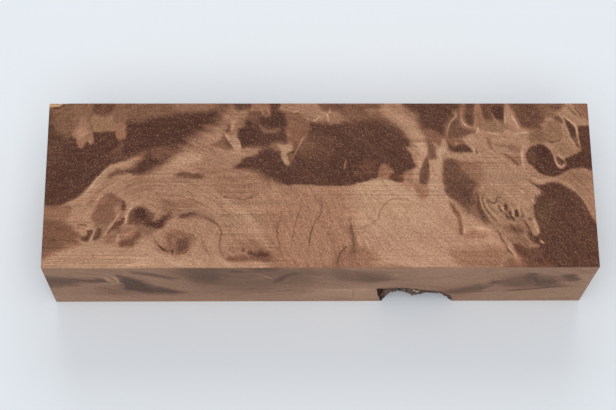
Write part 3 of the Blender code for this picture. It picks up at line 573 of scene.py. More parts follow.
# A ridge is a fine bright line of new wood, crisp as a crack: strength, width, path.
TOP_RIDGES = (
    (0.9, 0.5, (
        (-46.6, -5.8), (-47.5, -6.2), (-48.3, -6.8), (-48.9, -7.9), (-49.1, -8.9), (-49.4, -10.4),
        (-50.3, -11.3), (-51, -12))),
    (0.8, 0.6, (
        (-50.1, -6.9), (-51.2, -8.4), (-52.1, -9.8), (-53, -11.3), (-53.7, -12.6), (-54.5, -13.8),
        (-55.2, -15))),
    (0.8, 0.45, ((-56.9, -12), (-57.3, -13.2), (-57.6, -14.4), (-57.9, -15.6))),
    (0.6, 0.5, ((-59.6, -11.8), (-58.6, -12.2), (-57.4, -12.2))),
    (0.5, 0.5, ((-61.2, -13.4), (-60.9, -15), (-59.4, -16), (-57.8, -15.9), (-56.6, -15.6))),
    (0.7, 0.5, ((-56.8, -4.6), (-56, -3.7), (-55.2, -3.1))),
    (0.7, 0.45, (
        (-61.6, -4.4), (-60, -2.9), (-58.6, -1.2), (-57, 1.2), (-55.6, 2.9), (-54, 4.4), (-52.4, 5.2))),
    (0.5, 0.5, ((-50.9, -13.6), (-51.2, -14.6), (-51.4, -15.8))),
    (0.8, 0.45, ((-24.8, 14.4), (-24.4, 13.8), (-23.8, 12.9), (-23, 11.7))),
    (0.7, 0.4, ((-20.7, 12.6), (-20.6, 11), (-20.5, 9.4))),
    (0.5, 0.5, ((-23.4, 8.7), (-21.8, 8.5), (-20.2, 8.4))),
    (0.6, 0.5, ((-8.3, 14), (-8, 13.4), (-7.4, 13.2))),
    (0.5, 0.5, ((-8, 12), (-7.6, 11.4), (-7, 11.2))),
    (0.9, 0.45, (
        (-3.2, 14.6), (-3.5, 13.2), (-4.6, 12.4), (-4.9, 11.4), (-5.7, 9.9), (-6.4, 8.4), (-6.8, 7.3),
        (-7.3, 6.2))),
    (0.7, 0.45, ((-7.2, 19.6), (-6, 20), (-5.2, 20.4))),
    (0.7, 0.45, ((-4.4, 18.5), (-3.3, 18.1), (-2.6, 17.5))),
    (1, 0.5, ((-1.9, 17.4), (-0.9, 17.9), (0.2, 18.9))),
    (0.9, 0.5, ((2.7, 21.2), (2.7, 20.2), (2.6, 19.4))),
    (1, 0.5, ((2, 19.8), (2.1, 18.4), (2.4, 17))),
    (1, 0.5, ((6.9, 6.8), (6.5, 5.2), (6.1, 3.5))),
    (0.4, 0.4, ((13.2, 14.8), (13.2, 13.6))),
    (0.7, 0.4, ((27.7, 7.2), (28.1, 5.8), (28.2, 4.2), (28.1, 2.6))),
    (0.5, 0.45, ((26.2, 6.2), (25.7, 5), (25.2, 4))),
    (1, 0.5, ((35.4, 20.6), (35.4, 18.9), (34.7, 18), (34.1, 17.3), (33.5, 16), (33, 14), (32.6, 12.5))),
    (0.7, 0.5, ((36.7, 20.6), (36.6, 18.7), (36.8, 17.8), (37.5, 16.6), (38.5, 15.7), (39.7, 15))),
    (0.9, 0.45, ((41.1, 16), (41, 15), (40.4, 13.5))),
    (0.8, 0.5, ((38.8, 10.8), (39.6, 9.9), (39.9, 9), (39.5, 7.9))),
    (0.7, 0.4, ((40.8, 7.4), (41, 8.4), (41.6, 7.6))),
    (1, 0.4, ((35, 11.6), (35.2, 10.9))),
    (0.8, 0.4, ((44.7, 19.6), (45, 18.8), (45.6, 17.5))),
    (1, 0.5, ((48.1, 21.6), (48.1, 19.4), (48.2, 17.4), (48.2, 15.8))),
    (1, 0.55, ((49.8, 19.3), (50.3, 18.4), (50.8, 17.3), (51.3, 16.1), (51.5, 15))),
    (0.6, 0.5, ((42.2, 14.4), (44.6, 14), (46.9, 13.8))),
    (0.5, 0.45, ((47.4, 14), (48.4, 14.6), (49, 14.8))),
    (0.6, 0.5, ((49.2, 13.2), (51.3, 13.9), (53.4, 14.1), (54.2, 13.4))),
    (1, 0.65, ((52.2, 9.8), (52, 8.6), (52, 7.4), (51.9, 6), (52.1, 5), (52.6, 4))),
    (1, 0.5, ((62, 19.9), (62.8, 18.6), (63.4, 17.5), (64, 16))),
    (0.6, 0.5, ((64, 16), (64.5, 13.9), (65.3, 11.8), (66.5, 10.2))),
    (0.9, 0.5, (
        (62.8, 19.2), (64.2, 18), (65.6, 16.9), (66.4, 15.9), (66.6, 14.4), (66.9, 12.4), (67.4, 9.8))),
    (1, 0.5, ((59.9, 8.4), (60.3, 6.9), (60.8, 5.5), (61.7, 4.6), (62.6, 4.9), (62.9, 6))),
    (0.8, 0.4, ((61.2, 8), (62, 7.4), (62.8, 6.8))),
    (0.4, 0.5, ((66.4, -5.4), (67.2, -7.2), (68, -9))),
    (0.9, 0.5, ((50.8, -1.7), (51.4, -2.1), (51.9, -2.7))),
    (0.7, 0.45, ((46.8, -1.9), (47.4, -2.3), (47.9, -2.8))),
    (0.7, 0.45, ((53.7, -3.8), (54, -4.6), (54.3, -5.3))),
    (0.8, 0.45, ((39.2, -1.8), (39.2, -2.8))),
    (0.9, 0.45, ((54.8, -12.7), (55.3, -13.4))),
    (0.7, 0.5, ((38.2, -11.9), (40, -12), (42, -12.4), (43.2, -13.2))),
    (0.6, 0.45, ((40.4, -12.6), (39.8, -13.2))),
    (0.6, 0.5, ((36.2, -11.3), (36.3, -12.6), (36.1, -14))),
    (0.8, 0.5, ((45.9, -15.4), (46.6, -16.4), (47.6, -17.8), (48.6, -19.2), (49.4, -21))),
    (0.5, 0.7, ((54, 1.9), (56.4, 0.9), (60, 1))),
    (0.6, 0.45, ((-21.8, -16.6), (-21.4, -17.1))),
)

# Where the fibres run on the top: place, and their direction in degrees
TOP_FIBRES = (
    (-66, 12, 2), (-66, -14, 8), (-58, 16, 84), (-50, 16, 84), (-44, 16, 5), (-40, -3, -22), (-44, 1, 6),
    (-32, 7, -22), (-33, -4, -34), (-24, 7, -12), (-28, -7, -42), (-20, -9, -46), (-16, -13, -50),
    (-12, -7, -64), (-6, -12, -78), (-4, -4, -88), (2, -6, -92), (4, -14, -92), (12, -4, -48),
    (18, -2, -44), (22, -8, -34), (20, -16, -26), (30, -16, -20), (29, -1, -50), (28, -9, -34),
    (36, -12, -12), (38, -19, -6), (47, 2, -72), (45, 10, -10), (41, -5, -76), (43, -8, -52), (46, -6, -76),
    (49, -7, -84), (52, -8, -62), (54, -11, -60), (50, -13, -46), (58, -12, -60), (66, -12, -55),
    (67, 0, -52), (57, 0, -10), (60, 15, 14), (68, 20, -46), (62, 10, 12), (0, 12, 0), (10, 10, -4),
    (20, 18, -52), (28, 18, 0), (45, 18, -88), (-12, 14, -30), (-45, -20, 2), (-20, -21, 4),
)

# The figure of the front face, greyer with the dust that the saw left and with a painted sheen of the light
# that grazes it
FRONT_GROUND_SHADE = 0.54
# How much grey goes over the front and the hidden faces: saw dust, and painted sheen
FRONT_DUST_AND_SHEEN = 0.12
HIDDEN_DUST_AND_SHEEN = 0.12
FRONT_CLOUDS = (
    (0.72, -0.1, 4.7, 0.9, ((-3, 9), (0, 11.6), (14.8, 11.8), (15, 0), (6, -3), (-4, -2))),
    (0.6, 0.1, 9, 0.8, ((22, 32), (46, 32), (42, 20), (34, 15), (28, 17))),
    (0.64, 0.15, 5.4, 0.8, ((-74, 7), (-50, 5), (-30, 4), (-4, 6), (12, 3), (12, -3), (-74, -3))),
    (0.32, -0.3, 11, 0.8, ((-34, 30), (-10, 30), (0, 26), (-6, 14), (-24, 12), (-34, 20))),
    (0.19, -0.1, 4.7, 0.9, (
        (-74, 22), (-66, 21.6), (-62, 20), (-58, 18.6), (-62, 16.6), (-64, 14.4), (-74, 13.6))),
    (0.14, 0, 2.5, 0.9, ((-60, 19), (-57.4, 20.6), (-55.4, 19.6), (-55, 18), (-57, 17), (-60, 18))),
    (0.3, 0.1, 5.4, 0.7, ((-58, 13), (-52, 12.6), (-50, 9), (-55, 7.4))),
    (0.1, 0.1, 3.4, 0.95, (
        (-52.4, 23.4), (-50.2, 22.2), (-48.1, 20.6), (-46, 18.4), (-44.7, 16), (-42.6, 13.4), (-40.4, 12.4),
        (-37.8, 10.4), (-36, 8.4), (-37.7, 6.8), (-40.8, 7.2), (-44.4, 7.6), (-47.4, 9), (-50.4, 11),
        (-50.8, 16.3))),
    (0.1, 0.1, 3.2, 0.8, ((-50.4, 20.6), (-48, 19.6), (-45.6, 16), (-45.4, 12.4), (-48.6, 12), (-50, 16))),
    (0.26, 0.1, 2.2, 0.6, ((-44.4, 15.4), (-42.8, 13.6), (-42, 9.6), (-43.4, 10))),
    (0.2, 0.3, 3.2, 0.9, (
        (-46.4, 26), (-42.4, 25), (-38.6, 22.4), (-36.8, 20.6), (-39, 20.4), (-43, 22.4), (-46, 24))),
    (0.26, -0.4, 6.1, 0.9, ((-35, 30), (-25.6, 30), (-24.6, 22), (-26, 16), (-31, 16.4), (-34.4, 21))),
    (0.17, -0.4, 4.3, 0.8, ((-31.4, 24), (-28, 23.6), (-26.4, 19.6), (-28.6, 18), (-31, 20))),
    (0.18, 0.4, 1.8, 0.9, ((-22.4, 26.8), (-20.2, 26.8), (-20, 25.2), (-22, 25))),
    (0.2, 0.3, 2.9, 0.85, ((-17.6, 31), (-11, 31), (-11.4, 26.8), (-14, 26), (-17.4, 27))),
    (0.3, -0.4, 5.4, 0.8, ((2, 28), (8, 26), (16, 24), (18, 20), (14, 16.6), (8, 17), (3, 20))),
    (0.25, -0.2, 3.2, 0.7, ((10, 22.4), (15, 22), (17, 19), (13, 17.6), (10.4, 19))),
    (0.23, 0.5, 3.6, 0.9, ((32.6, 8), (36, 11), (40, 13.4), (44, 14), (43, 11), (40, 8.4), (36, 7))),
    (0.3, -0.5, 1.8, 0.8, ((39.8, 14.4), (42, 14.6), (43.4, 12.4), (42.4, 9.6), (40.6, 10.4))),
    (0.18, 0.3, 2.5, 0.9, ((44, 17.8), (47.2, 17.6), (48, 15.8), (44.4, 15.2))),
    (0.25, 0.35, 5.4, 0.8, ((47, 19), (52, 22.6), (60, 21.4), (62, 16.4), (56, 12.6), (48, 13))),
    (0.17, 0.2, 2.2, 0.8, ((52.8, 23.6), (55.2, 24), (56, 19.4), (55, 16), (53, 17.4))),
    (0.19, 0, 2.5, 0.8, ((56, 18.6), (60.6, 18.2), (61.6, 14.4), (58, 12.8), (56, 14))),
    (0.16, -0.5, 2.5, 0.9, ((61.8, 22), (64.6, 22.8), (66.4, 21), (66, 18), (64, 17.4), (62.6, 19.6))),
    (0.66, 0, 2.9, 0.8, ((66.6, 22), (72, 24), (72, 14), (68, 16))),
    (0.64, -0.1, 5.4, 0.8, ((46, 8.6), (56, 9), (66, 12), (72, 14), (72, -2), (40, -2), (38, 4))),
)
FRONT_BANDS = (
    (0.16, 0.1, 1.8, 1.2, 0.85, ((-12.4, 14.8), (-11, 18), (-9.6, 21.4), (-7.4, 23.8), (-4.8, 24.6))),
    (0.17, 0.5, 1.1, 0.8, 0.9, ((48, 9.4), (52, 10), (56, 10.8), (60.6, 12.4), (65, 14))),
    (0.66, 0.1, 0.9, 0.8, 0.7, ((28, 14.4), (32, 19), (36.6, 25))),
    (0.66, 0, 1, 0.8, 0.7, ((-53.4, 23), (-51.8, 19.4), (-51.8, 14.6))),
    (0.64, 0, 0.9, 0.8, 0.7, ((-55.2, 21.6), (-53.8, 18), (-53.4, 14.4))),
    (0.62, 0, 1.6, 1, 0.7, ((-47.6, 3.4), (-43, 4), (-38.6, 3.6))),
    (0.7, 0.1, 0.7, 0.7, 0.6, ((-16.6, 24.6), (-14.6, 22.4), (-12.4, 19))),
)
FRONT_GROWTH_LINES = (
    (0.5, 0.6, ((-64, 20), (-62, 19.4), (-60, 19))),
    (0.5, 0.5, ((1.6, 11.6), (8, 11.9), (14.4, 12))),
    (0.35, 0.5, ((8.6, 11.6), (8.9, 8), (9.2, 2))),
    (0.45, 0.6, ((38, 8.4), (44, 8.6), (48, 9.2))),
    (0.4, 0.5, ((-45, 7), (-40, 6.4), (-36, 7))),
    (0.35, 0.6, ((-24, 10.4), (-19, 11), (-15, 13.6), (-12, 16.4))),
    (0.35, 0.6, ((-24, 7), (-18, 7.4), (-10, 9.4), (-4, 11))),
    (0.35, 0.6, ((-8, 20), (-3, 17.6), (3, 15.6), (9, 14.6))),
    (0.35, 0.5, ((18, 15), (24, 14.4), (30, 13), (34, 10.4))),
    (0.4, 0.5, ((53.4, 22), (55.4, 20), (55.8, 17), (57.6, 16), (59.4, 18))),
    (0.4, 0.5, ((40.2, 13), (41.8, 12.6), (42.4, 10.6), (41.2, 9.6))),
)
FRONT_RIDGES = (
    (0.6, 0.6, ((-53, 22.6), (-51.8, 20), (-51.9, 17))),
    (0.6, 0.6, ((-51, 17.4), (-50.6, 15), (-50.8, 12.6))),
    (0.5, 0.6, ((-55.6, 22.6), (-54.2, 20.4), (-54.6, 17))),
    (0.4, 0.6, ((52.6, 20), (54.4, 18.4), (54.8, 16))),
    (0.4, 0.6, ((40.6, 13.8), (41.6, 12.8), (43.4, 12.6))),
)
FRONT_FIBRES = (
    (-66, 18, 5), (-62, 5, 0), (-50, 18, -50), (-44, 12, -42), (-41, 24, -40), (-30, 22, -55), (-30, 6, 0),
    (-20, 18, -10), (-11, 18, 62), (-16, 6, 6), (0, 22, -35), (2, 10, -15), (6, 5, 0), (14, 21, -30),
    (22, 20, 5), (30, 22, 30), (36, 22, 40), (38, 10, 25), (44, 16, 10), (52, 18, 5), (56, 8, 16),
    (66, 20, -40), (66, 6, 18),
)

# Pits and checks that are open on the top face: place, radius and depth
TOP_PITS = (
    (-18, -18.8, 0.45, 0.3), (-37.3, -17.9, 0.35, 0.2), (-24.1, -3.5, 0.35, 0.15), (34.8, 11.3, 0.3, 0.15),
    (61.6, 6.2, 0.6, 0.3), (-23.6, 12.2, 0.4, 0.2), (33, 11.8, 0.35, 0.2), (40.4, 8.6, 0.4, 0.2),
    (47.5, -9, 0.35, 0.15), (49.4, -9, 0.35, 0.15), (-58.8, -14.4, 0.5, 0.2), (-7.2, 9.6, 0.4, 0.2),
)

# How far the torn bark hangs in the front of the void: place along the blank and drop
LIP_DROPS = (
    (15, 10), (17.6, 8.8), (18.8, 7.4), (20.3, 5.4), (21.7, 5), (23.2, 6.6), (24.8, 9.4), (26.1, 8),
    (27.2, 5.4), (28.6, 4.8), (30, 4.4), (31.9, 4.6), (33.3, 3.6),
)

# Pale splinters of wood that are caught on the lip: place and radius
PALE_CHIPS = (
    (25.75, -22.25, 8, 0.42), (24.7, -22.25, 9, 0.36), (25.2, -22.3, 8.6, 0.22), (22.2, -22.33, 9.6, 0.2),
)

# The torn bark, in millimetres
LIP_RECESS = 0.32  # how far behind the front face the lip hangs at its top
LIP_LEAN = 0.25  # how much further back it lies at its foot
BARK_RECESS = 0.15  # no torn bark comes nearer the front face, so that the splinters stand proud of it
BARK_LIFT = 0.02  # nor nearer the ground
CHIP_SHAPE = (1, 0.5, 1.4)  # a splinter is flattened against the bark and drawn out upwards

# How the figure is carried over the mesh
FINE_CELL = 0.38  # spacing of the mesh where the figure is drawn
COARSE_STEP = 3  # the hidden faces are cut at every third of those places
LOW_CORNER = 0.45  # the low corner that the saw left lies within this of the top
CURVE_STEPS = 5  # straight pieces between two points of a drawn curve
NOISE_CELLS = 64  # the seeded noise repeats after this many lumps
CLOUD_WANDER, CLOUD_FRAY = 0.35, 0.14  # how far the edges of clouds stray, in long waves and short ones
BAND_WANDER, BAND_FRAY = 0.25, 0.1  # the same for bands
LINE_WANDER, LINE_FRAY = 0.12, 0.05  # and for fine lines
HINT_REACH = 9.0  # how far round it a fibre hint is felt
LINE_REACH_OF_FIBRES = 2.2  # how far from a fine line the fibres turn along it
LINE_PULL = 1.2  # and how strongly, beside the hints
FIELD_ROUNDS = 400  # rounds of smoothing that settle the fibre field
LINE_REACH = 0.95  # how far either side of a fine line its distance is kept
STREAK_REACH = 1.6  # how far streaks of one shade run along the fibres into the next
FADE_DEPTH = 4.0  # how deep a drawn face's figure runs into the faces beside it
EDGE = 0.3  # the eased edges lie within this of a corner of the block


def linear(colour):
    """An sRGB hex colour as linear red, green, blue and alpha."""
    parts = [int(colour[i : i + 2], 16) / 255 for i in (1, 3, 5)]
    return (*[c / 12.92 if c <= 0.04045 else ((c + 0.055) / 1.055) ** 2.4 for c in parts], 1.0)


def smooth_step(share):
    """Eases from 0 to 1 as a share goes from 0 to 1."""
    share = np.clip(share, 0, 1)
    return share * share * (3 - 2 * share)


def smooth_noise(places, size, seed, octaves=3):
    """Seeded noise from -1 to 1 at places in millimetres, with lumps of that size."""
    total = np.zeros(len(places))
    weight = 1.0
    for octave in range(octaves):
        lattice = np.random.default_rng(seed + octave).uniform(-1, 1, (NOISE_CELLS,) * 3)
        spot = places / size * 2**octave
        cell = np.floor(spot).astype(int)
        share = smooth_step(spot - cell)
        for corner in np.ndindex(2, 2, 2):
            index = (cell + corner) % NOISE_CELLS
            part = np.where(corner, share, 1 - share).prod(axis=1)
            total += weight * part * lattice[index[:, 0], index[:, 1], index[:, 2]]
        weight /= 2
    return total


def smooth_curve(points, closed=False):
    """Close points along the smooth curve through these, with every number of each point carried along."""
    count = len(points)
    curve = []
    for i in range(count if closed else count - 1):
        turns = (i - 1, i, i + 1, i + 2)
        if closed:
            a, b, c, d = (points[j % count] for j in turns)
        else:
            a, b, c, d = (points[min(max(j, 0), count - 1)] for j in turns)
        for step in range(CURVE_STEPS):
            t = step / CURVE_STEPS
            bend = (2 * a - 5 * b + 4 * c - d) * t**2 + (3 * b - a - 3 * c + d) * t**3
            curve.append(0.5 * (2 * b + (c - a) * t + bend))
    if not closed:
        curve.append(points[-1])
    return np.array(curve)


def nearest_on(places, curve, closed=False):
    """Each place's distance from a curve and its offset, side and place along it, and if it lies inside."""
    distance = np.full(len(places), np.inf)
    away = np.zeros(places.shape)
    side = np.zeros(len(places))
    along = np.zeros(len(places))
    inside = np.zeros(len(places), bool)
    ends = np.roll(curve, -1, axis=0) if closed else curve[1:]
    for i, (start, end) in enumerate(zip(curve, ends)):
        span = (end - start)[:2]
        offset = places - start[:2]
        share = np.clip(offset @ span / max(span @ span, 1e-9), 0, 1)
        from_foot = offset - share[:, None] * span
        gap = np.hypot(*from_foot.T)
        closer = gap < distance
        distance = np.where(closer, gap, distance)
        away = np.where(closer[:, None], from_foot, away)
        side = np.where(closer, np.sign(span[0] * offset[:, 1] - span[1] * offset[:, 0]), side)
        along = np.where(closer, i + share, along)
        if closed and span[1] != 0:
            crossed = (start[1] > places[:, 1]) != (end[1] > places[:, 1])
            inside ^= crossed & (offset[:, 0] < offset[:, 1] / span[1] * span[0])
    return distance, away, side, along, inside


def close_to(places, curve, reach):
    """Which places lie in the box round a curve, widened by a reach."""
    low = curve[:, :2].min(axis=0) - reach
    high = curve[:, :2].max(axis=0) + reach
    return np.flatnonzero(((places > low) & (places < high)).all(axis=1))


def lay_on(figure, near, cover, shade, redness):
    """Brings shade and redness towards one colour, as far as its cover says."""
    figure["shade"][near] += cover * (shade - figure["shade"][near])
    figure["redness"][near] += cover * (redness - figure["redness"][near])


def paint_clouds(places, feather, figure, clouds):
    """Lays each cloud on the figure, in order. Soft edges feather along the fibres, and crisp ones don't."""
    for shade, redness, softness, strength, outline in clouds:
        points = np.array([(*p[:2], p[2] if len(p) > 2 else softness) for p in outline], float)
        curve = smooth_curve(points, closed=True)
        near = close_to(places, curve, curve[:, 2].max() + 2 * STREAK_REACH)
        if not len(near):
            continue
        distance, away, _, along, inside = nearest_on(places[near], curve, closed=True)
        soft = np.interp(along, np.arange(len(curve) + 1), np.append(curve[:, 2], curve[0, 2]))
        slide = (feather[near] * away).sum(axis=1) / np.maximum(distance, 0.01)
        signed = np.where(inside, -1, 1) * (distance + slide * np.clip(soft / 2 - 0.3, 0, 1.5))
        lay_on(figure, near, strength * smooth_step(0.5 - signed / np.maximum(soft, 0.3)), shade, redness)


def end_taper(along, curve, sharpness):
    """Falls from 1 to 0 at both ends of a curve."""
    share = along / (len(curve) - 1)
    return smooth_step(sharpness * np.minimum(share, 1 - share) + 0.05)


def paint_bands(places, figure, bands):
    """Lays each band on the figure, in order."""
    for shade, redness, width, softness, strength, path in bands:
        curve = smooth_curve(np.array(path, float))
        near = close_to(places, curve, width + softness)
        if not len(near):
            continue
        distance, _, _, along, _ = nearest_on(places[near], curve)
        taper = end_taper(along, curve, 4)
        cover = smooth_step(0.5 + (width * (0.4 + 0.6 * taper) / 2 - distance) / softness)
        lay_on(figure, near, strength * taper * cover, shade, redness)


def draw_lines(places, figure, name, lines):
    """Keeps each place's distance from the nearest line, counted in line widths, and the line's strength."""
    nearest = np.full(len(places), np.inf)
    for strength, width, path in lines:
        curve = smooth_curve(np.array(path, float))
        near = close_to(places, curve, LINE_REACH)
        if not len(near):
            continue
        distance, _, side, along, _ = nearest_on(places[near], curve)
        closer = distance < nearest[near]
        near, distance, side, along = near[closer], distance[closer], side[closer], along[closer]
        nearest[near] = distance
        fade = smooth_step(2 - 2 * distance / LINE_REACH)
        figure[name][near] = side * distance / width
        figure[name + "_strength"][near] = strength * end_taper(along, curve, 3) * fade


def fibre_field(hints, lines, low, high):
    """A grid of heights, 1 mm apart, whose level lines run with the fibres: along the hints and the lines."""
    x, y = np.meshgrid(np.arange(low[0], high[0] + 1), np.arange(low[1], high[1] + 1), indexing="ij")

    def pull(spots, normals, reach):
        field = np.zeros((*x.shape, 2))
        for spot, normal in zip(spots, normals):
            weight = np.exp(-((x - spot[0]) ** 2 + (y - spot[1]) ** 2) / reach**2) + 1e-5
            field += weight[..., None] * normal
        return field

    turns = np.radians([hint[2] for hint in hints])
    field = pull(hints, np.stack([-np.sin(turns), np.cos(turns)], axis=1), HINT_REACH)
    field /= np.linalg.norm(field, axis=2, keepdims=True) + 1e-9
    spots, normals = [], []
    for strength, width, path in lines:
        curve = smooth_curve(np.array(path, float))[::2]
        for start, end in zip(curve, curve[1:]):
            run = end - start
            normal = np.array([-run[1], run[0]]) / max(np.hypot(*run), 1e-6)
            cell = np.clip(np.round(start - low).astype(int), 0, np.array(x.shape) - 1)
            spots.append(start)
            normals.append(normal if normal @ field[tuple(cell)] >= 0 else -normal)
    field += LINE_PULL * pull(spots, normals, LINE_REACH_OF_FIBRES)
    field /= np.linalg.norm(field, axis=2, keepdims=True) + 1e-9

    def slopes(height):
        return np.diff(height, axis=0), np.diff(height, axis=1)

    def gather(along_x, along_y):
        total = np.zeros(x.shape)
        total[1:] += along_x
        total[:-1] -= along_x
        total[:, 1:] += along_y
        total[:, :-1] -= along_y
        return total

    height = np.zeros(x.shape)
    wanted_x = (field[1:, :, 0] + field[:-1, :, 0]) / 2
    wanted_y = (field[:, 1:, 1] + field[:, :-1, 1]) / 2
    left = gather(wanted_x, wanted_y)
    move = left.copy()
    size = (left**2).sum()
    for _ in range(FIELD_ROUNDS):
        push = gather(*slopes(move))
        step = size / max((move * push).sum(), 1e-12)
        height += step * move
        left -= step * push
        next_size = (left**2).sum()
        move = left + next_size / max(size, 1e-12) * move
        size = next_size
    return height


def read_field(field, low, places):
    """The height of a fibre field at places between its grid points."""
    spot = np.clip(places - low, 0, np.array(field.shape) - 1.001)
    cell = spot.astype(int)
    share = spot - cell
    i, j = cell.T
    near = field[i, j] * (1 - share[:, 1]) + field[i, j + 1] * share[:, 1]
    far = field[i + 1, j] * (1 - share[:, 1]) + field[i + 1, j + 1] * share[:, 1]
    return near * (1 - share[:, 0]) + far * share[:, 0]


FIGURE_PARTS = (
    "shade", "redness", "dust_and_sheen", "across", "growth", "growth_strength", "ridge", "ridge_strength",
)


def empty_figure(count):
    """A figure with nothing drawn on it yet, for so many places."""
    return {name: np.zeros(count) for name in FIGURE_PARTS}


def drawn_figure(places, ground, dust_and_sheen, clouds, bands, growth_lines, ridges, fibres, low, high):
    """The figure of one face at places on it."""
    figure = empty_figure(len(places))
    figure["shade"] += ground
    figure["redness"] += GROUND_REDNESS
    flat = places[:, :2]
    wander = np.stack([smooth_noise(places, 5, seed) for seed in (11, 23)], axis=1)
    ragged = np.stack([smooth_noise(places, 1.3, seed, 2) for seed in (37, 41)], axis=1)
    low, high = np.array(low), np.array(high)
    field = fibre_field(fibres, growth_lines + ridges, low, high)
    figure["across"] = read_field(field, low, flat) + 0.35 * smooth_noise(places, 8, 13, 2)
    slope = np.stack([read_field(part, low, flat) for part in np.gradient(field)], axis=1)
    fibre = np.stack([-slope[:, 1], slope[:, 0]], axis=1) / (np.hypot(*slope.T)[:, None] + 0.2)
    streak_spot = np.column_stack([figure["across"], 0.14 * places[:, :2]])
    feather = STREAK_REACH * smooth_noise(streak_spot, 1.5, 131, 3)[:, None] * fibre
    paint_clouds(flat + CLOUD_WANDER * wander + CLOUD_FRAY * ragged, feather, figure, clouds)
    paint_bands(flat + 0.4 * feather + BAND_WANDER * wander + BAND_FRAY * ragged, figure, bands)
    for name, lines in (("growth", growth_lines), ("ridge", ridges)):
        draw_lines(flat + LINE_WANDER * wander + LINE_FRAY * ragged, figure, name, lines)
    # The grey of saw dust and painted sheen over the face
    figure["dust_and_sheen"] += dust_and_sheen
    return figure


def inner_figure(places):
    """The burl inside the block, for the faces that aren't drawn: dark clouds and growth lines."""
    figure = empty_figure(len(places))
    warped = places + 5 * np.stack([smooth_noise(places, 17, seed, 2) for seed in (51, 57, 63)], axis=1)
    clouds = smooth_noise(warped, 16, 71, 2)
    swirls = smooth_noise(warped, 7, 83, 2)
    dark = smooth_step(2.6 * clouds + 0.5 * swirls + 0.2)
    figure["shade"] = 0.62 - 0.44 * dark + 0.1 * swirls * (1 - dark)
    figure["redness"] = 0.6 * smooth_noise(places, 12, 91, 2)
    # The hidden faces take the front's grey too: saw dust and painted sheen
    figure["dust_and_sheen"] += HIDDEN_DUST_AND_SHEEN
    level = 9 * smooth_noise(warped, 24, 97, 1) + 0.9 * swirls
    figure["growth"] = (level - np.round(level)) * 7
    figure["growth_strength"] = 0.55 * smooth_step(2.4 * smooth_noise(places, 9, 103, 1))
    figure["across"] = 11 * level + 0.4 * warped[:, 2]
    bright = swirls * 9
    figure["ridge"] = (bright - np.round(bright)) * 5
    figure["ridge_strength"] = 0.6 * smooth_step(5 * smooth_noise(places, 6, 109, 1) - 2.2)
    return figure


def block_figure(places):
    """Each place's figure: as drawn on the top and front, and burl of the same kind on the other faces."""
    depth_top = HEIGHT - places[:, 2]
    depth_front = places[:, 1] - FRONT
    front_fade = np.where(depth_top < 0.02, EDGE, FADE_DEPTH)
    top_fade = np.where(depth_front < 0.02, EDGE, FADE_DEPTH)
    ragged = 0.35 * smooth_noise(places, 3, 7, 2)
    on_front = smooth_step(1 + ragged * (depth_front > 0.02) - depth_front / front_fade)
    on_top = smooth_step(1 + ragged * (depth_top > 0.02) - depth_top / top_fade)
    figure = inner_figure(places)
    leaning = places[:, [0, 2, 1]] + np.stack([0.3 * depth_front, 0.2 * depth_front, depth_front], axis=1)
    lay_face(figure, on_front, leaning, (
        FRONT_GROUND_SHADE, FRONT_DUST_AND_SHEEN, FRONT_CLOUDS, FRONT_BANDS, FRONT_GROWTH_LINES, FRONT_RIDGES,
        FRONT_FIBRES, (LEFT - 4, -4), (RIGHT + 4, HEIGHT + 4)))
    leaning = places + np.stack([0.3 * depth_top, -0.2 * depth_top, depth_top], axis=1)
    lay_face(figure, on_top, leaning, (
        GROUND_SHADE, 0.0, TOP_CLOUDS, TOP_BANDS, TOP_GROWTH_LINES, TOP_RIDGES, TOP_FIBRES,
        (LEFT - 4, FRONT - 4), (RIGHT + 4, BACK + 4)))
    return figure


def lay_face(figure, cover, places, drawing):
    """Lays one face's drawn figure over what is there, as far as its cover says."""
    near = np.flatnonzero(cover > 0)
    drawn = drawn_figure(places[near], *drawing)
    for name, values in drawn.items():
        part = cover[near] > 0.5 if name in ("across", "growth", "ridge") else cover[near]
        figure[name][near] += part * (values - figure[name][near])


def pit_depth(places):
    """How far each place of the top face is sunk by the open pits."""
    depth = np.zeros(len(places))
    for x, y, radius, deep in TOP_PITS:
        away = np.hypot(places[:, 0] - x, places[:, 1] - y)
        depth = np.maximum(depth, deep * smooth_step(1.5 - away / radius))
    return np.where(places[:, 2] > HEIGHT - 0.01, depth, 0)


# Building the block's mesh


def merged_copy(node):
    """A copy of a node's mesh with its loose triangles merged, and each flat face in one piece."""
    bm = bmesh.new()
    bm.from_mesh(node.data)
    bmesh.ops.remove_doubles(bm, verts=bm.verts, dist=0.002 * MM)
    bmesh.ops.dissolve_limit(bm, angle_limit=math.radians(0.05), verts=bm.verts, edges=bm.edges)
    return bm


def is_bark(face):
    """Whether a face belongs to the wall of the void and not to the sawn block or its eased edges."""
    x, y, z = face.calc_center_median() / MM
    gaps = sorted((x - LEFT, RIGHT - x, y - FRONT, BACK - y, z, HEIGHT - z))
    return gaps[0] > 0.01 and gaps[1] > EDGE and z < HEIGHT - 1


def cut_apart(bm, faces, axis, cuts):
    """Cuts faces at these places along an axis, from the middle cut outwards, and returns the pieces."""
    if not cuts or not faces:
        return faces
    middle = len(cuts) // 2
    plane = Vector((0, 0, 0))
    plane[axis] = 1
    edges = dict.fromkeys(edge for face in faces for edge in face.edges)
    verts = dict.fromkeys(vert for face in faces for vert in face.verts)
    made = bmesh.ops.bisect_plane(
        bm, geom=[*faces, *edges, *verts], plane_co=plane * cuts[middle], plane_no=plane, dist=1e-7)
    pieces = [item for item in made["geom"] if isinstance(item, bmesh.types.BMFace)]
    low = [face for face in pieces if face.calc_center_median()[axis] < cuts[middle]]
    high = [face for face in pieces if face.calc_center_median()[axis] >= cuts[middle]]
    return [
        *cut_apart(bm, low, axis, cuts[:middle]),
        *cut_apart(bm, high, axis, cuts[middle + 1 :]),
    ]


def even_cuts(low, high, spacing):
    """Places between two ends, evenly apart and close to that spacing, in metres."""
    count = round((high - low) / spacing)
    return [MM * (low + (high - low) * i / count) for i in range(1, count)]


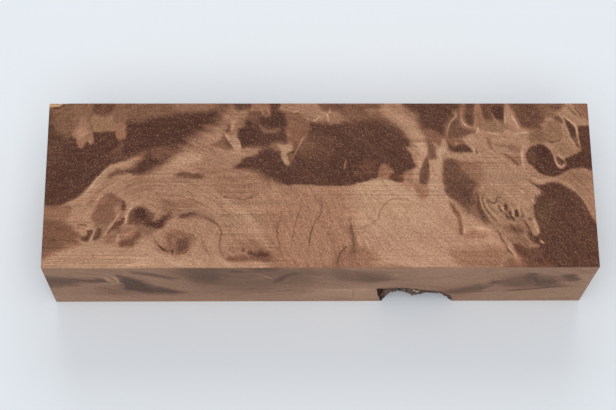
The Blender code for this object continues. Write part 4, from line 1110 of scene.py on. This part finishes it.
def dice_block(bm, spacing):
    """Cuts the sawn faces into small cells: fine ones on the top and front, larger ones elsewhere."""
    sawn = [face for face in bm.faces if not is_bark(face)]
    ends = ((LEFT, RIGHT), (FRONT, BACK), (0, HEIGHT))
    for axis in range(3):
        cuts = even_cuts(*ends[axis], spacing)
        low, high = (end * MM for end in ends[axis])
        cuts_off_edges = [cut for cut in cuts if low + EDGE * MM < cut < high - EDGE * MM]
        drawn, plain = [], []
        for face in sawn:
            _, y, z = face.calc_center_median() / MM
            (drawn if z > HEIGHT - LOW_CORNER or y < FRONT + EDGE else plain).append(face)
        sawn = [
            *cut_apart(bm, drawn, axis, cuts_off_edges),
            *cut_apart(bm, plain, axis, cuts_off_edges[::COARSE_STEP]),
        ]


def hang_lip(vert, rim_x, rim_z, drop):
    """Brings the top of the void's wall forward, so that a torn edge of bark hangs in the front face."""
    x, y, z = vert.co / MM
    below = (np.interp(x, rim_x, rim_z) - z) / drop
    share = float(smooth_step(3.4 - 3 * below)) if below > 0.02 else 0.0
    vert.co.y = MM * (y + share * (FRONT + LIP_RECESS + LIP_LEAN * max(below, 0) - y))


def tear_bark(bm, roughness, lip, seed):
    """Makes the wall of the void finer, and rough as torn bark, with a lip of bark along its top."""
    for _ in range(2):
        wall = [face for face in bm.faces if is_bark(face)]
        edges = dict.fromkeys(edge for face in wall for edge in face.edges)
        bmesh.ops.subdivide_edges(bm, edges=list(edges), cuts=1, use_grid_fill=True)
    wall = [face for face in bm.faces if is_bark(face)]
    verts = dict.fromkeys(vert for face in wall for vert in face.verts)
    inner = [vert for vert in verts if all(is_bark(face) for face in vert.link_faces)]
    places = np.array([vert.co / MM for vert in inner])
    on_front = [vert for vert in bm.verts if vert.co.y < (FRONT + 0.01) * MM]
    rim = [vert.co / MM for vert in on_front if any(is_bark(face) for face in vert.link_faces)]
    rim.sort(key=lambda place: place.x)
    rim_x, rim_z = [place.x for place in rim], [place.z for place in rim]
    drops = lip * np.interp(places[:, 0], *zip(*LIP_DROPS))
    drops *= 1 + 0.12 * smooth_noise(places * (1, 0, 0), 0.9, seed + 20)
    for vert, drop in zip(inner, drops):
        hang_lip(vert, rim_x, rim_z, float(drop))
    places = np.array([vert.co / MM for vert in inner])
    push = smooth_noise(places, 1.6, seed) + 0.6 * smooth_noise(places * (2.2, 1, 0.7), 0.7, seed + 9)
    bm.normal_update()
    normals = [vert.normal.copy() for vert in inner]
    for vert, normal, amount in zip(inner, normals, push):
        vert.co += normal * float(amount) * roughness * MM
        vert.co.y = max(vert.co.y, (FRONT + BARK_RECESS) * MM)
        vert.co.z = max(vert.co.z, BARK_LIFT * MM)


# Materials


def add_node(tree, kind, inputs=None, output=0, stops=(), **settings):
    """Adds a node with its settings, colour stops and links, and returns one of its output sockets."""
    node = tree.nodes.new(kind)
    for name, value in settings.items():
        setattr(node, name, value)
    for i, (place, colour) in enumerate(stops):
        stop = node.color_ramp.elements[i] if i < 2 else node.color_ramp.elements.new(place)
        stop.position = place
        stop.color = linear(colour)
    for key, value in (inputs or {}).items():
        socket = node.inputs[key]
        if isinstance(value, bpy.types.NodeSocket):
            tree.links.new(value, socket)
        else:
            socket.default_value = value
    return node.outputs[output]


def new_material(name):
    """A material with a bare Principled BSDF, and that shader."""
    material = bpy.data.materials.new(name)
    material.use_nodes = True
    return material, material.node_tree, material.node_tree.nodes["Principled BSDF"]


def block_places(tree):
    """Where each point of a piece lies on the block, in millimetres."""
    place = add_node(tree, "ShaderNodeTexCoord", output=3)
    return add_node(tree, "ShaderNodeVectorMath", {0: place, 3: 1 / MM}, operation="SCALE")


def make_wood_material(look):
    """Burl filled with clear acrylic resin, sawn and dry-sanded.

    It gives the eye a satin surface with no varnish: silky fibre streaks that follow the figure,
    fine dark year lines, bright cracks of new wood, and pores that the sanding dust has turned
    pale in the dark wood and left dark in the light wood.
    """
    material, tree, shader = new_material("sanded_stabilized_burl")
    part = {
        name: add_node(tree, "ShaderNodeAttribute", output=2, attribute_name=name) for name in FIGURE_PARTS
    }
    place = block_places(tree)
    x, y, z = add_node(tree, "ShaderNodeSeparateXYZ", {0: place}).node.outputs
    run = add_node(tree, "ShaderNodeMath", {0: x, 1: FIBRE_STRETCH}, operation="MULTIPLY")
    rise = add_node(tree, "ShaderNodeMath", {0: y, 1: z}, operation="ADD")
    rise = add_node(tree, "ShaderNodeMath", {0: rise, 1: FIBRE_STRETCH}, operation="MULTIPLY")
    fibre_place = add_node(tree, "ShaderNodeCombineXYZ", {0: part["across"], 1: run, 2: rise})

    # Fibre streaks, about 0.4 mm and 1.7 mm across and several millimetres long
    fine, broad = (
        add_node(tree, "ShaderNodeTexNoise", {"Vector": fibre_place, "Scale": scale, "Detail": detail})
        for scale, detail in ((look.fine_streaks, 2.0), (look.broad_streaks, 1.0))
    )
    lightness = add_node(
        tree, "ShaderNodeMapRange", {"Value": part["shade"], 1: 0.1, 2: 0.55, 3: 0.5, 4: 1.0})
    streak = add_node(tree, "ShaderNodeMath", {0: fine, 1: -0.5}, operation="ADD")
    streak = add_node(tree, "ShaderNodeMath", {0: streak, 1: look.streak_depth}, operation="MULTIPLY")
    bands = add_node(tree, "ShaderNodeMath", {0: broad, 1: -0.5}, operation="ADD")
    streak = add_node(
        tree, "ShaderNodeMath", {0: bands, 1: look.streak_depth * 0.5, 2: streak}, operation="MULTIPLY_ADD")
    shade = add_node(
        tree, "ShaderNodeMath", {0: streak, 1: lightness, 2: part["shade"]}, operation="MULTIPLY_ADD")

    # Vessels of the wood, about 0.3 mm wide and 0.6 mm long where the saw crosses them, as a fine mottle
    vessel_place = add_node(
        tree, "ShaderNodeVectorMath", {0: fibre_place, 1: VESSEL_STRETCH}, operation="MULTIPLY")
    cells = add_node(
        tree, "ShaderNodeTexNoise",
        {"Vector": vessel_place, "Scale": VESSELS_PER_MM, "Detail": 2.0, "Roughness": 0.75})
    cells = add_node(tree, "ShaderNodeMath", {0: cells, 1: -0.5}, operation="ADD")
    cells = add_node(tree, "ShaderNodeMath", {0: cells, 1: lightness}, operation="MULTIPLY")
    shade = add_node(tree, "ShaderNodeMath", {0: cells, 1: look.mottle, 2: shade}, operation="MULTIPLY_ADD")

    # Year lines and bright ridges, sharp by their distance
    for name, change in (("growth", -look.line_depth), ("ridge", look.ridge_gain)):
        away = add_node(tree, "ShaderNodeMath", {0: part[name]}, operation="ABSOLUTE")
        line = add_node(
            tree, "ShaderNodeMapRange", {"Value": away, 1: 0.15, 2: 0.85, 3: 1.0, 4: 0.0},
            interpolation_type="SMOOTHSTEP")
        line = add_node(tree, "ShaderNodeMath", {0: line, 1: part[name + "_strength"]}, operation="MULTIPLY")
        shade = add_node(tree, "ShaderNodeMath", {0: line, 1: change, 2: shade}, operation="MULTIPLY_ADD")
    colour = add_node(tree, "ShaderNodeValToRGB", {0: shade}, stops=WOOD_SHADES)

    # Reddish and olive wood
    for low, high, tint in ((0.0, 1.0, RED_TINT), (0.0, -1.0, OLIVE_TINT)):
        amount = add_node(tree, "ShaderNodeMapRange", {"Value": part["redness"], 1: low, 2: high})
        colour = add_node(
            tree, "ShaderNodeMix", {0: amount, 6: colour, 7: tint}, output=2, data_type="RGBA",
            blend_type="MULTIPLY")

    # Pores, about 0.3 mm: pale with dust in the dark wood, dark in the light wood
    spots = add_node(
        tree, "ShaderNodeTexVoronoi", {"Vector": place, "Scale": look.pores_per_mm, "Randomness": 1.0}).node
    chance = add_node(tree, "ShaderNodeSeparateColor", {0: spots.outputs["Color"]}).node
    dot = add_node(
        tree, "ShaderNodeMapRange", {"Value": spots.outputs["Distance"], 1: 0.1, 2: 0.5, 3: 1.0, 4: 0.0},
        interpolation_type="SMOOTHSTEP")
    for channel, rare, low, high, pore_colour, depth in (
        (0, 0.45, 0.5, 0.25, look.dust_colour, look.dust_depth),
        (1, 0.6, 0.25, 0.5, look.pore_colour, look.pore_depth),
    ):
        picked = add_node(tree, "ShaderNodeMapRange", {"Value": chance.outputs[channel], 1: rare, 2: 1.0})
        where = add_node(tree, "ShaderNodeMapRange", {"Value": shade, 1: low, 2: high})
        amount = add_node(tree, "ShaderNodeMath", {0: picked, 1: where}, operation="MULTIPLY")
        amount = add_node(tree, "ShaderNodeMath", {0: amount, 1: dot}, operation="MULTIPLY")
        amount = add_node(tree, "ShaderNodeMath", {0: amount, 1: depth}, operation="MULTIPLY", use_clamp=True)
        colour = add_node(
            tree, "ShaderNodeMix", {0: amount, 6: colour, 7: (*pore_colour, 1.0)}, output=2, data_type="RGBA")

    # Grey mixed over the unsanded faces: the dust that the saw left, and a painted sheen of the grazing light
    colour = add_node(
        tree, "ShaderNodeMix", {0: part["dust_and_sheen"], 6: colour, 7: (*look.dust_and_sheen_colour, 1.0)}, output=2,
        data_type="RGBA")

    # Sanding scratches along the blank, in patches. Real ones are about 0.1 mm apart, too fine to show in
    # the render, so these are drawn 0.3 mm apart
    scratch_place = add_node(
        tree, "ShaderNodeVectorMath", {0: place, 1: SCRATCHES_PER_MM}, operation="MULTIPLY")
    scratches = add_node(tree, "ShaderNodeTexNoise", {"Vector": scratch_place, "Scale": 1.0, "Detail": 3.0})
    patches = add_node(tree, "ShaderNodeTexNoise", {"Vector": place, "Scale": 0.09, "Detail": 1.0})
    patches = add_node(tree, "ShaderNodeMapRange", {"Value": patches, 1: 0.4, 2: 0.65, 3: 0.3, 4: 1.6})
    glow = add_node(tree, "ShaderNodeMapRange", {
        "Value": scratches, 1: 0.35, 2: 0.65, 3: -look.scratch_depth, 4: look.scratch_depth})
    glow = add_node(tree, "ShaderNodeMath", {0: glow, 1: patches, 2: 1.0}, operation="MULTIPLY_ADD")
    glow = add_node(tree, "ShaderNodeCombineColor", {0: glow, 1: glow, 2: glow})
    colour = add_node(
        tree, "ShaderNodeMix", {0: 1.0, 6: colour, 7: glow}, output=2, data_type="RGBA",
        blend_type="MULTIPLY")
    tree.links.new(colour, shader.inputs["Base Color"])

    gloss = add_node(tree, "ShaderNodeMapRange", {"Value": scratches, 1: 0.3, 2: 0.7, 3: 0.5, 4: 0.62})
    tree.links.new(gloss, shader.inputs["Roughness"])
    shader.inputs["IOR"].default_value = RESIN_IOR
    shader.inputs["Specular IOR Level"].default_value = 0.15
    height = add_node(tree, "ShaderNodeMath", {0: scratches, 1: fine}, operation="ADD")
    height = add_node(tree, "ShaderNodeMath", {0: dot, 1: -0.5, 2: height}, operation="MULTIPLY_ADD")
    bump = add_node(tree, "ShaderNodeBump", {"Strength": 0.5, "Distance": 0.02 * MM, "Height": height})
    tree.links.new(bump, shader.inputs["Normal"])
    return material


def make_bark_material(look):
    """Torn inner bark, soaked in resin and left unsanded.

    It gives the eye a dark purple-brown hollow with rusty, flaking ribs that catch the light.
    """
    material, tree, shader = new_material("torn_inner_bark")
    place = block_places(tree)

    # Ribs about 0.7 mm apart that run up the wall of the void, and flakes of the same size between them
    ribs_place = add_node(tree, "ShaderNodeVectorMath", {0: place, 1: RIBS_PER_MM}, operation="MULTIPLY")
    ribs = add_node(
        tree, "ShaderNodeTexNoise", {"Vector": ribs_place, "Scale": 1.0, "Detail": 5.0, "Roughness": 0.62})
    flakes = add_node(tree, "ShaderNodeTexNoise", {"Vector": place, "Scale": 1.4, "Detail": 4.0})
    mixed = add_node(tree, "ShaderNodeMath", {0: flakes, 1: 0.45, 2: ribs}, operation="MULTIPLY_ADD")
    colour = add_node(tree, "ShaderNodeValToRGB", {0: mixed}, stops=BARK_SHADES)
    tree.links.new(colour, shader.inputs["Base Color"])
    shader.inputs["Roughness"].default_value = 0.62
    shader.inputs["IOR"].default_value = RESIN_IOR
    bump = add_node(tree, "ShaderNodeBump", {"Strength": 0.8, "Distance": 0.25 * MM, "Height": mixed})
    tree.links.new(bump, shader.inputs["Normal"])
    return material


def make_crumb_material():
    """Dry crumbs of bark and pale sawdust, which give the eye loose bits in the hollow."""
    material, tree, shader = new_material("dry_bark_crumbs")
    tone = add_node(tree, "ShaderNodeTexNoise", {"Vector": block_places(tree), "Scale": 0.7, "Detail": 2.0})
    colour = add_node(tree, "ShaderNodeValToRGB", {0: tone}, stops=CRUMB_SHADES)
    tree.links.new(colour, shader.inputs["Base Color"])
    shader.inputs["Roughness"].default_value = 0.85
    return material


def make_chip_material():
    """Bare splinters of sapwood, which give the eye a few pale dry specks on the dark bark."""
    material, _, shader = new_material("pale_sapwood_splinters")
    shader.inputs["Base Color"].default_value = linear("#C9B596")
    shader.inputs["Roughness"].default_value = 0.7
    return material


def make_floor_material(colour):
    """Matt painted board, which gives the eye an even, pale ground with the faintest tooth."""
    material, tree, shader = new_material("matt_painted_board")
    place = add_node(tree, "ShaderNodeTexCoord", output=3)
    tooth = add_node(tree, "ShaderNodeTexNoise", {"Vector": place, "Scale": 900.0, "Detail": 2.0})
    bump = add_node(tree, "ShaderNodeBump", {"Strength": 0.05, "Distance": 0.1 * MM, "Height": tooth})
    shader.inputs["Base Color"].default_value = (*colour, 1.0)
    shader.inputs["Roughness"].default_value = 0.8
    tree.links.new(bump, shader.inputs["Normal"])
    return material


WOOD_SHADES = (
    (0.0, "#3E2018"), (0.12, "#4E2D21"), (0.35, "#7F5842"), (0.52, "#9E745A"), (0.7, "#B88E71"),
    (0.88, "#CEA588"), (1.0, "#E5C3A4"),
)
RED_TINT = linear("#FFEAE0")
OLIVE_TINT = linear("#F2F9E4")
BARK_SHADES = ((0.5, "#1C1214"), (0.68, "#3A2420"), (0.8, "#6B4530"), (0.92, "#9A7455"))
CRUMB_SHADES = ((0.4, "#4A2E22"), (0.55, "#7A5238"), (0.66, "#D8CDB9"))
RESIN_IOR = 1.49  # clear acrylic
FIBRE_STRETCH = 0.08  # streaks are this many times as close along the fibres as across them
VESSEL_STRETCH = (1.0, 6.0, 6.0)  # vessels are that much shorter than the streaks
VESSELS_PER_MM = 3.6
SCRATCHES_PER_MM = (0.03, 3.2, 3.2)
RIBS_PER_MM = (1.5, 0.6, 0.35)


class BlankSettings(bpy.types.PropertyGroup):
    """The sizes and colours of the burl blank that a user would change."""

    cell: FloatProperty(
        name="Cell", description="Spacing of the mesh under the drawn figure, in millimetres",
        default=FINE_CELL, min=0.3, max=2.0)
    bark_roughness: FloatProperty(
        name="Bark roughness", description="How far the torn bark stands in and out, in millimetres",
        default=0.28, min=0.0, max=0.6)
    bark_lip: FloatProperty(
        name="Bark lip", description="How far the torn bark hangs, as a share of its drawn drops",
        default=1.0, min=0.1, max=2.0)
    bark_seed: IntProperty(
        name="Bark seed", description="Another number tears the bark in another way", default=5)
    fine_streaks: FloatProperty(
        name="Fine streaks", description="Fine fibre streaks in each millimetre", default=2.4, min=0.1)
    broad_streaks: FloatProperty(
        name="Broad streaks", description="Broad fibre streaks in each millimetre", default=0.6, min=0.05)
    streak_depth: FloatProperty(
        name="Streak depth", description="How strongly the fibres show", default=0.3, min=0.0)
    mottle: FloatProperty(
        name="Mottle", description="How strongly the wood's vessels show", default=0.8, min=0.0)
    line_depth: FloatProperty(
        name="Line depth", description="How dark the growth lines are", default=0.3, min=0.0)
    ridge_gain: FloatProperty(
        name="Ridge gain", description="How bright the ridges of new wood are", default=0.26, min=0.0)
    pores_per_mm: FloatProperty(name="Pores", description="Pores along each millimetre", default=2.7, min=0.1)
    dust_colour: FloatVectorProperty(
        name="Dust", description="Sanding dust in the pores of the dark wood",
        subtype="COLOR", default=linear("#A9876C")[:3], min=0, max=1)
    dust_depth: FloatProperty(
        name="Dust depth", description="How full of dust the pores are", default=0.8, min=0.0)
    pore_colour: FloatVectorProperty(
        name="Pore", description="Open pores of the light wood",
        subtype="COLOR", default=linear("#6A4636")[:3], min=0, max=1)
    pore_depth: FloatProperty(
        name="Pore depth", description="How dark the open pores are", default=0.8, min=0.0)
    scratch_depth: FloatProperty(
        name="Scratches", description="How strongly the sanding scratches show", default=0.14, min=0.0)
    # The grey of the unsanded faces: saw dust, and a painted sheen of the grazing light
    dust_and_sheen_colour: FloatVectorProperty(
        name="Sawdust", description="Dust on the unsanded faces",
        subtype="COLOR", default=linear("#8C7A69")[:3], min=0, max=1)
    crumb_size: FloatProperty(
        name="Crumb size", description="Longest crumb of loose bark in the void",
        subtype="DISTANCE", default=0.55 * MM, min=0.05 * MM)
    crumbs: FloatProperty(
        name="Crumbs", description="Crumbs on each square metre of bark", default=180000.0, min=0.0)


class StageSettings(bpy.types.PropertyGroup):
    """The table, light and camera of the studio."""

    floor_colour: FloatVectorProperty(
        name="Floor", description="Colour of the table",
        subtype="COLOR", default=linear("#E7ECF0")[:3], min=0, max=1)
    floor_size: FloatProperty(
        name="Floor size", description="Length of each side of the table",
        subtype="DISTANCE", default=3.0, min=0.5)
    sky_strength: FloatProperty(name="Sky", description="Strength of the even light", default=0.38, min=0.0)
    back_power: FloatProperty(
        name="Back light", description="Power of the lamp that clears the shadow behind the blank",
        subtype="POWER", default=1.5, min=0.0)
    key_power: FloatProperty(
        name="Key light", description="Power of the large lamp above the camera",
        subtype="POWER", default=5.1, min=0.0)
    lens: FloatProperty(name="Lens", description="Focal length in millimetres", default=90.714, min=1.0)


def set_attributes(mesh, figure):
    """Keeps each part of the figure as a number at each vertex."""
    for name, values in figure.items():
        attribute = mesh.attributes.new(name, "FLOAT", "POINT")
        attribute.data.foreach_set("value", values.astype(np.float32))


def finish_piece(piece, *materials):
    """Puts a finished piece in the scene, in its materials, riding on the block."""
    bpy.context.scene.collection.objects.link(piece)
    for material in materials:
        piece.data.materials.append(material)
    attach(piece, "root")


class BURL_OT_make_block(bpy.types.Operator):
    """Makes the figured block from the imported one"""

    bl_idname = "burl.make_block"
    bl_label = "Make the figured block"

    def execute(self, context):
        look = context.scene.burl_blank
        bm = merged_copy(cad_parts["burl_blank"])
        dice_block(bm, look.cell)
        tear_bark(bm, look.bark_roughness, look.bark_lip, look.bark_seed)
        for face in bm.faces:
            face.material_index = int(is_bark(face))
        bmesh.ops.triangulate(bm, faces=[face for face in bm.faces if len(face.verts) > 4])
        bm.verts.index_update()
        places = np.array([vert.co for vert in bm.verts]) / MM
        for vert, depth in zip(bm.verts, pit_depth(places)):
            vert.co.z -= float(depth) * MM
        mesh = bpy.data.meshes.new("figured_burl_block")
        bm.to_mesh(mesh)
        bm.free()
        set_attributes(mesh, block_figure(places))
        block = bpy.data.objects.new("figured_burl_block", mesh)
        finish_piece(block, make_wood_material(look), make_bark_material(look))
        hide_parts("burl_blank")
        return {"FINISHED"}


def crumb_tree(material):
    """Geometry Nodes that strew crumbs over a surface, each a small bent lump sunk a little in it."""
    tree = bpy.data.node_groups.new("strewn_crumbs", "GeometryNodeTree")
    sockets = tree.interface
    for name, kind, way in (
        ("Geometry", "Geometry", "INPUT"),
        ("Crumb size", "Float", "INPUT"),
        ("Density", "Float", "INPUT"),
        ("Seed", "Int", "INPUT"),
        ("Geometry", "Geometry", "OUTPUT"),
    ):
        sockets.new_socket(name, in_out=way, socket_type="NodeSocket" + kind)
    given = add_node(tree, "NodeGroupInput").node.outputs
    strewn = add_node(
        tree, "GeometryNodeDistributePointsOnFaces",
        {"Mesh": given[0], "Density": given[2], "Seed": given[3]}).node
    lump = add_node(tree, "GeometryNodeMeshIcoSphere", {"Radius": 0.5, "Subdivisions": 2})
    bend = add_node(tree, "ShaderNodeTexNoise", {"Scale": 2.4, "Detail": 1.0}, output=1)
    bend = add_node(tree, "ShaderNodeVectorMath", {0: bend, 1: (0.5, 0.5, 0.5)}, operation="SUBTRACT")
    bend = add_node(tree, "ShaderNodeVectorMath", {0: bend, 3: 0.9}, operation="SCALE")
    lump = add_node(tree, "GeometryNodeSetPosition", {"Geometry": lump, "Offset": bend})
    size = add_node(
        tree, "FunctionNodeRandomValue", {0: (0.2, 0.12, 0.1), 1: (1.0, 0.6, 0.4), 8: given[3]},
        data_type="FLOAT_VECTOR")
    size = add_node(tree, "ShaderNodeVectorMath", {0: size, 3: given[1]}, operation="SCALE")
    turn = add_node(
        tree, "FunctionNodeRandomValue", {0: (0, 0, 0), 1: (6.28, 6.28, 6.28), 8: given[3]},
        data_type="FLOAT_VECTOR")
    placed = add_node(
        tree, "GeometryNodeInstanceOnPoints",
        {"Points": strewn.outputs[0], "Instance": lump, "Rotation": turn, "Scale": size})
    real = add_node(tree, "GeometryNodeRealizeInstances", {0: placed})
    real = add_node(tree, "GeometryNodeSetMaterial", {"Geometry": real, "Material": material})
    add_node(tree, "NodeGroupOutput", {0: real}, output=slice(0))
    return tree


def add_pale_chips(mesh):
    """Adds the few pale splinters of wood that are caught on the torn edge of the bark."""
    bm = bmesh.new()
    bm.from_mesh(mesh)
    for x, y, z, radius in PALE_CHIPS:
        made = bmesh.ops.create_icosphere(bm, subdivisions=2, radius=radius * MM)["verts"]
        for vert in made:
            vert.co = vert.co * Vector(CHIP_SHAPE) + Vector((x, y, z)) * MM
        for face in dict.fromkeys(face for vert in made for face in vert.link_faces):
            face.material_index = len(mesh.materials)
    bm.to_mesh(mesh)
    bm.free()
    mesh.materials.append(make_chip_material())


class BURL_OT_make_crumbs(bpy.types.Operator):
    """Strews loose bark over the wall of the void"""

    bl_idname = "burl.make_crumbs"
    bl_label = "Strew the loose bark"

    def execute(self, context):
        look = context.scene.burl_blank
        bm = merged_copy(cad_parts["burl_blank"])
        sawn = [face for face in bm.faces if not is_bark(face)]
        bmesh.ops.delete(bm, geom=sawn, context="FACES")
        bed = bpy.data.meshes.new("void_wall")
        bm.to_mesh(bed)
        bm.free()
        holder = bpy.data.objects.new("void_wall", bed)
        context.scene.collection.objects.link(holder)
        strew = holder.modifiers.new("strewn_crumbs", "NODES")
        strew.node_group = crumb_tree(make_crumb_material())
        values = {"Crumb size": look.crumb_size, "Density": look.crumbs, "Seed": look.bark_seed}
        for item in strew.node_group.interface.items_tree:
            if item.name in values:
                strew[item.identifier] = values[item.name]
        shown = holder.evaluated_get(context.evaluated_depsgraph_get())
        mesh = bpy.data.meshes.new_from_object(shown)
        bpy.data.objects.remove(holder)
        for vert in mesh.vertices:
            vert.co.y = max(vert.co.y, FRONT * MM)
            vert.co.z = max(vert.co.z, 0.0)
        mesh.name = "loose_bark_crumbs"
        add_pale_chips(mesh)
        finish_piece(bpy.data.objects.new("loose_bark_crumbs", mesh))
        return {"FINISHED"}


CAMERA_PLACE = (-0.011263, -0.142648, 0.398221)  # in metres
CAMERA_TURN = (20.3469, -1.0698, -0.4826)  # in degrees


class BURL_OT_make_stage(bpy.types.Operator):
    """Makes the table, the studio light and the camera"""

    bl_idname = "burl.make_stage"
    bl_label = "Make the stage"

    def execute(self, context):
        scene = context.scene
        stage = scene.burl_stage
        half = stage.floor_size / 2
        mesh = bpy.data.meshes.new("table")
        corners = [(x * half, y * half, -0.01 * MM) for x, y in ((-1, -1), (1, -1), (1, 1), (-1, 1))]
        mesh.from_pydata(corners, [], [(0, 1, 2, 3)])
        floor = bpy.data.objects.new("table", mesh)
        floor.data.materials.append(make_floor_material(stage.floor_colour))
        scene.collection.objects.link(floor)

        world = bpy.data.worlds.new("studio")
        world.use_nodes = True
        sky = world.node_tree.nodes["Background"]
        sky.inputs["Color"].default_value = linear("#F2F6FC")
        sky.inputs["Strength"].default_value = stage.sky_strength
        scene.world = world

        for name, power, size, place in (
            ("key_softbox", stage.key_power, 0.8, (-0.05, -0.3, 0.87)),
            ("back_softbox", stage.back_power, 0.5, (0.0, 0.5, 0.45)),
        ):
            lamp = bpy.data.lights.new(name, "AREA")
            lamp.energy = power
            lamp.size = size
            softbox = bpy.data.objects.new(name, lamp)
            softbox.location = place
            softbox.rotation_euler = (-softbox.location).to_track_quat("-Z", "Y").to_euler()
            scene.collection.objects.link(softbox)

        lens = bpy.data.cameras.new("camera")
        lens.lens = stage.lens
        lens.clip_start = 0.01
        camera = bpy.data.objects.new("camera", lens)
        camera.location = CAMERA_PLACE
        camera.rotation_euler = Euler([math.radians(turn) for turn in CAMERA_TURN])
        scene.collection.objects.link(camera)
        scene.camera = camera
        scene.view_settings.view_transform = "Standard"
        return {"FINISHED"}


class BURL_PT_blank(bpy.types.Panel):
    """Lists the blank's settings and the steps that make it"""

    bl_label = "Burl blank"
    bl_idname = "BURL_PT_blank"
    bl_space_type = "VIEW_3D"
    bl_region_type = "UI"
    bl_category = "Burl blank"

    def draw(self, context):
        for settings in (context.scene.burl_blank, context.scene.burl_stage):
            box = self.layout.box()
            for name in settings.bl_rna.properties.keys():
                if name not in ("rna_type", "name"):
                    box.prop(settings, name)
        for operator in OPERATORS:
            self.layout.operator(operator.bl_idname)


OPERATORS = (BURL_OT_make_block, BURL_OT_make_crumbs, BURL_OT_make_stage)
CLASSES = (BlankSettings, StageSettings, *OPERATORS, BURL_PT_blank)


def register():
    """Adds the settings, the steps and the panel to Blender."""
    for cls in CLASSES:
        bpy.utils.register_class(cls)
    bpy.types.Scene.burl_blank = PointerProperty(type=BlankSettings)
    bpy.types.Scene.burl_stage = PointerProperty(type=StageSettings)


def unregister():
    """Takes them out again."""
    del bpy.types.Scene.burl_stage
    del bpy.types.Scene.burl_blank
    for cls in reversed(CLASSES):
        bpy.utils.unregister_class(cls)


def main():
    """Makes the blank and its stage."""
    register()
    bpy.ops.burl.make_block()
    bpy.ops.burl.make_crumbs()
    bpy.ops.burl.make_stage()


if __name__ == "__main__":
    main()
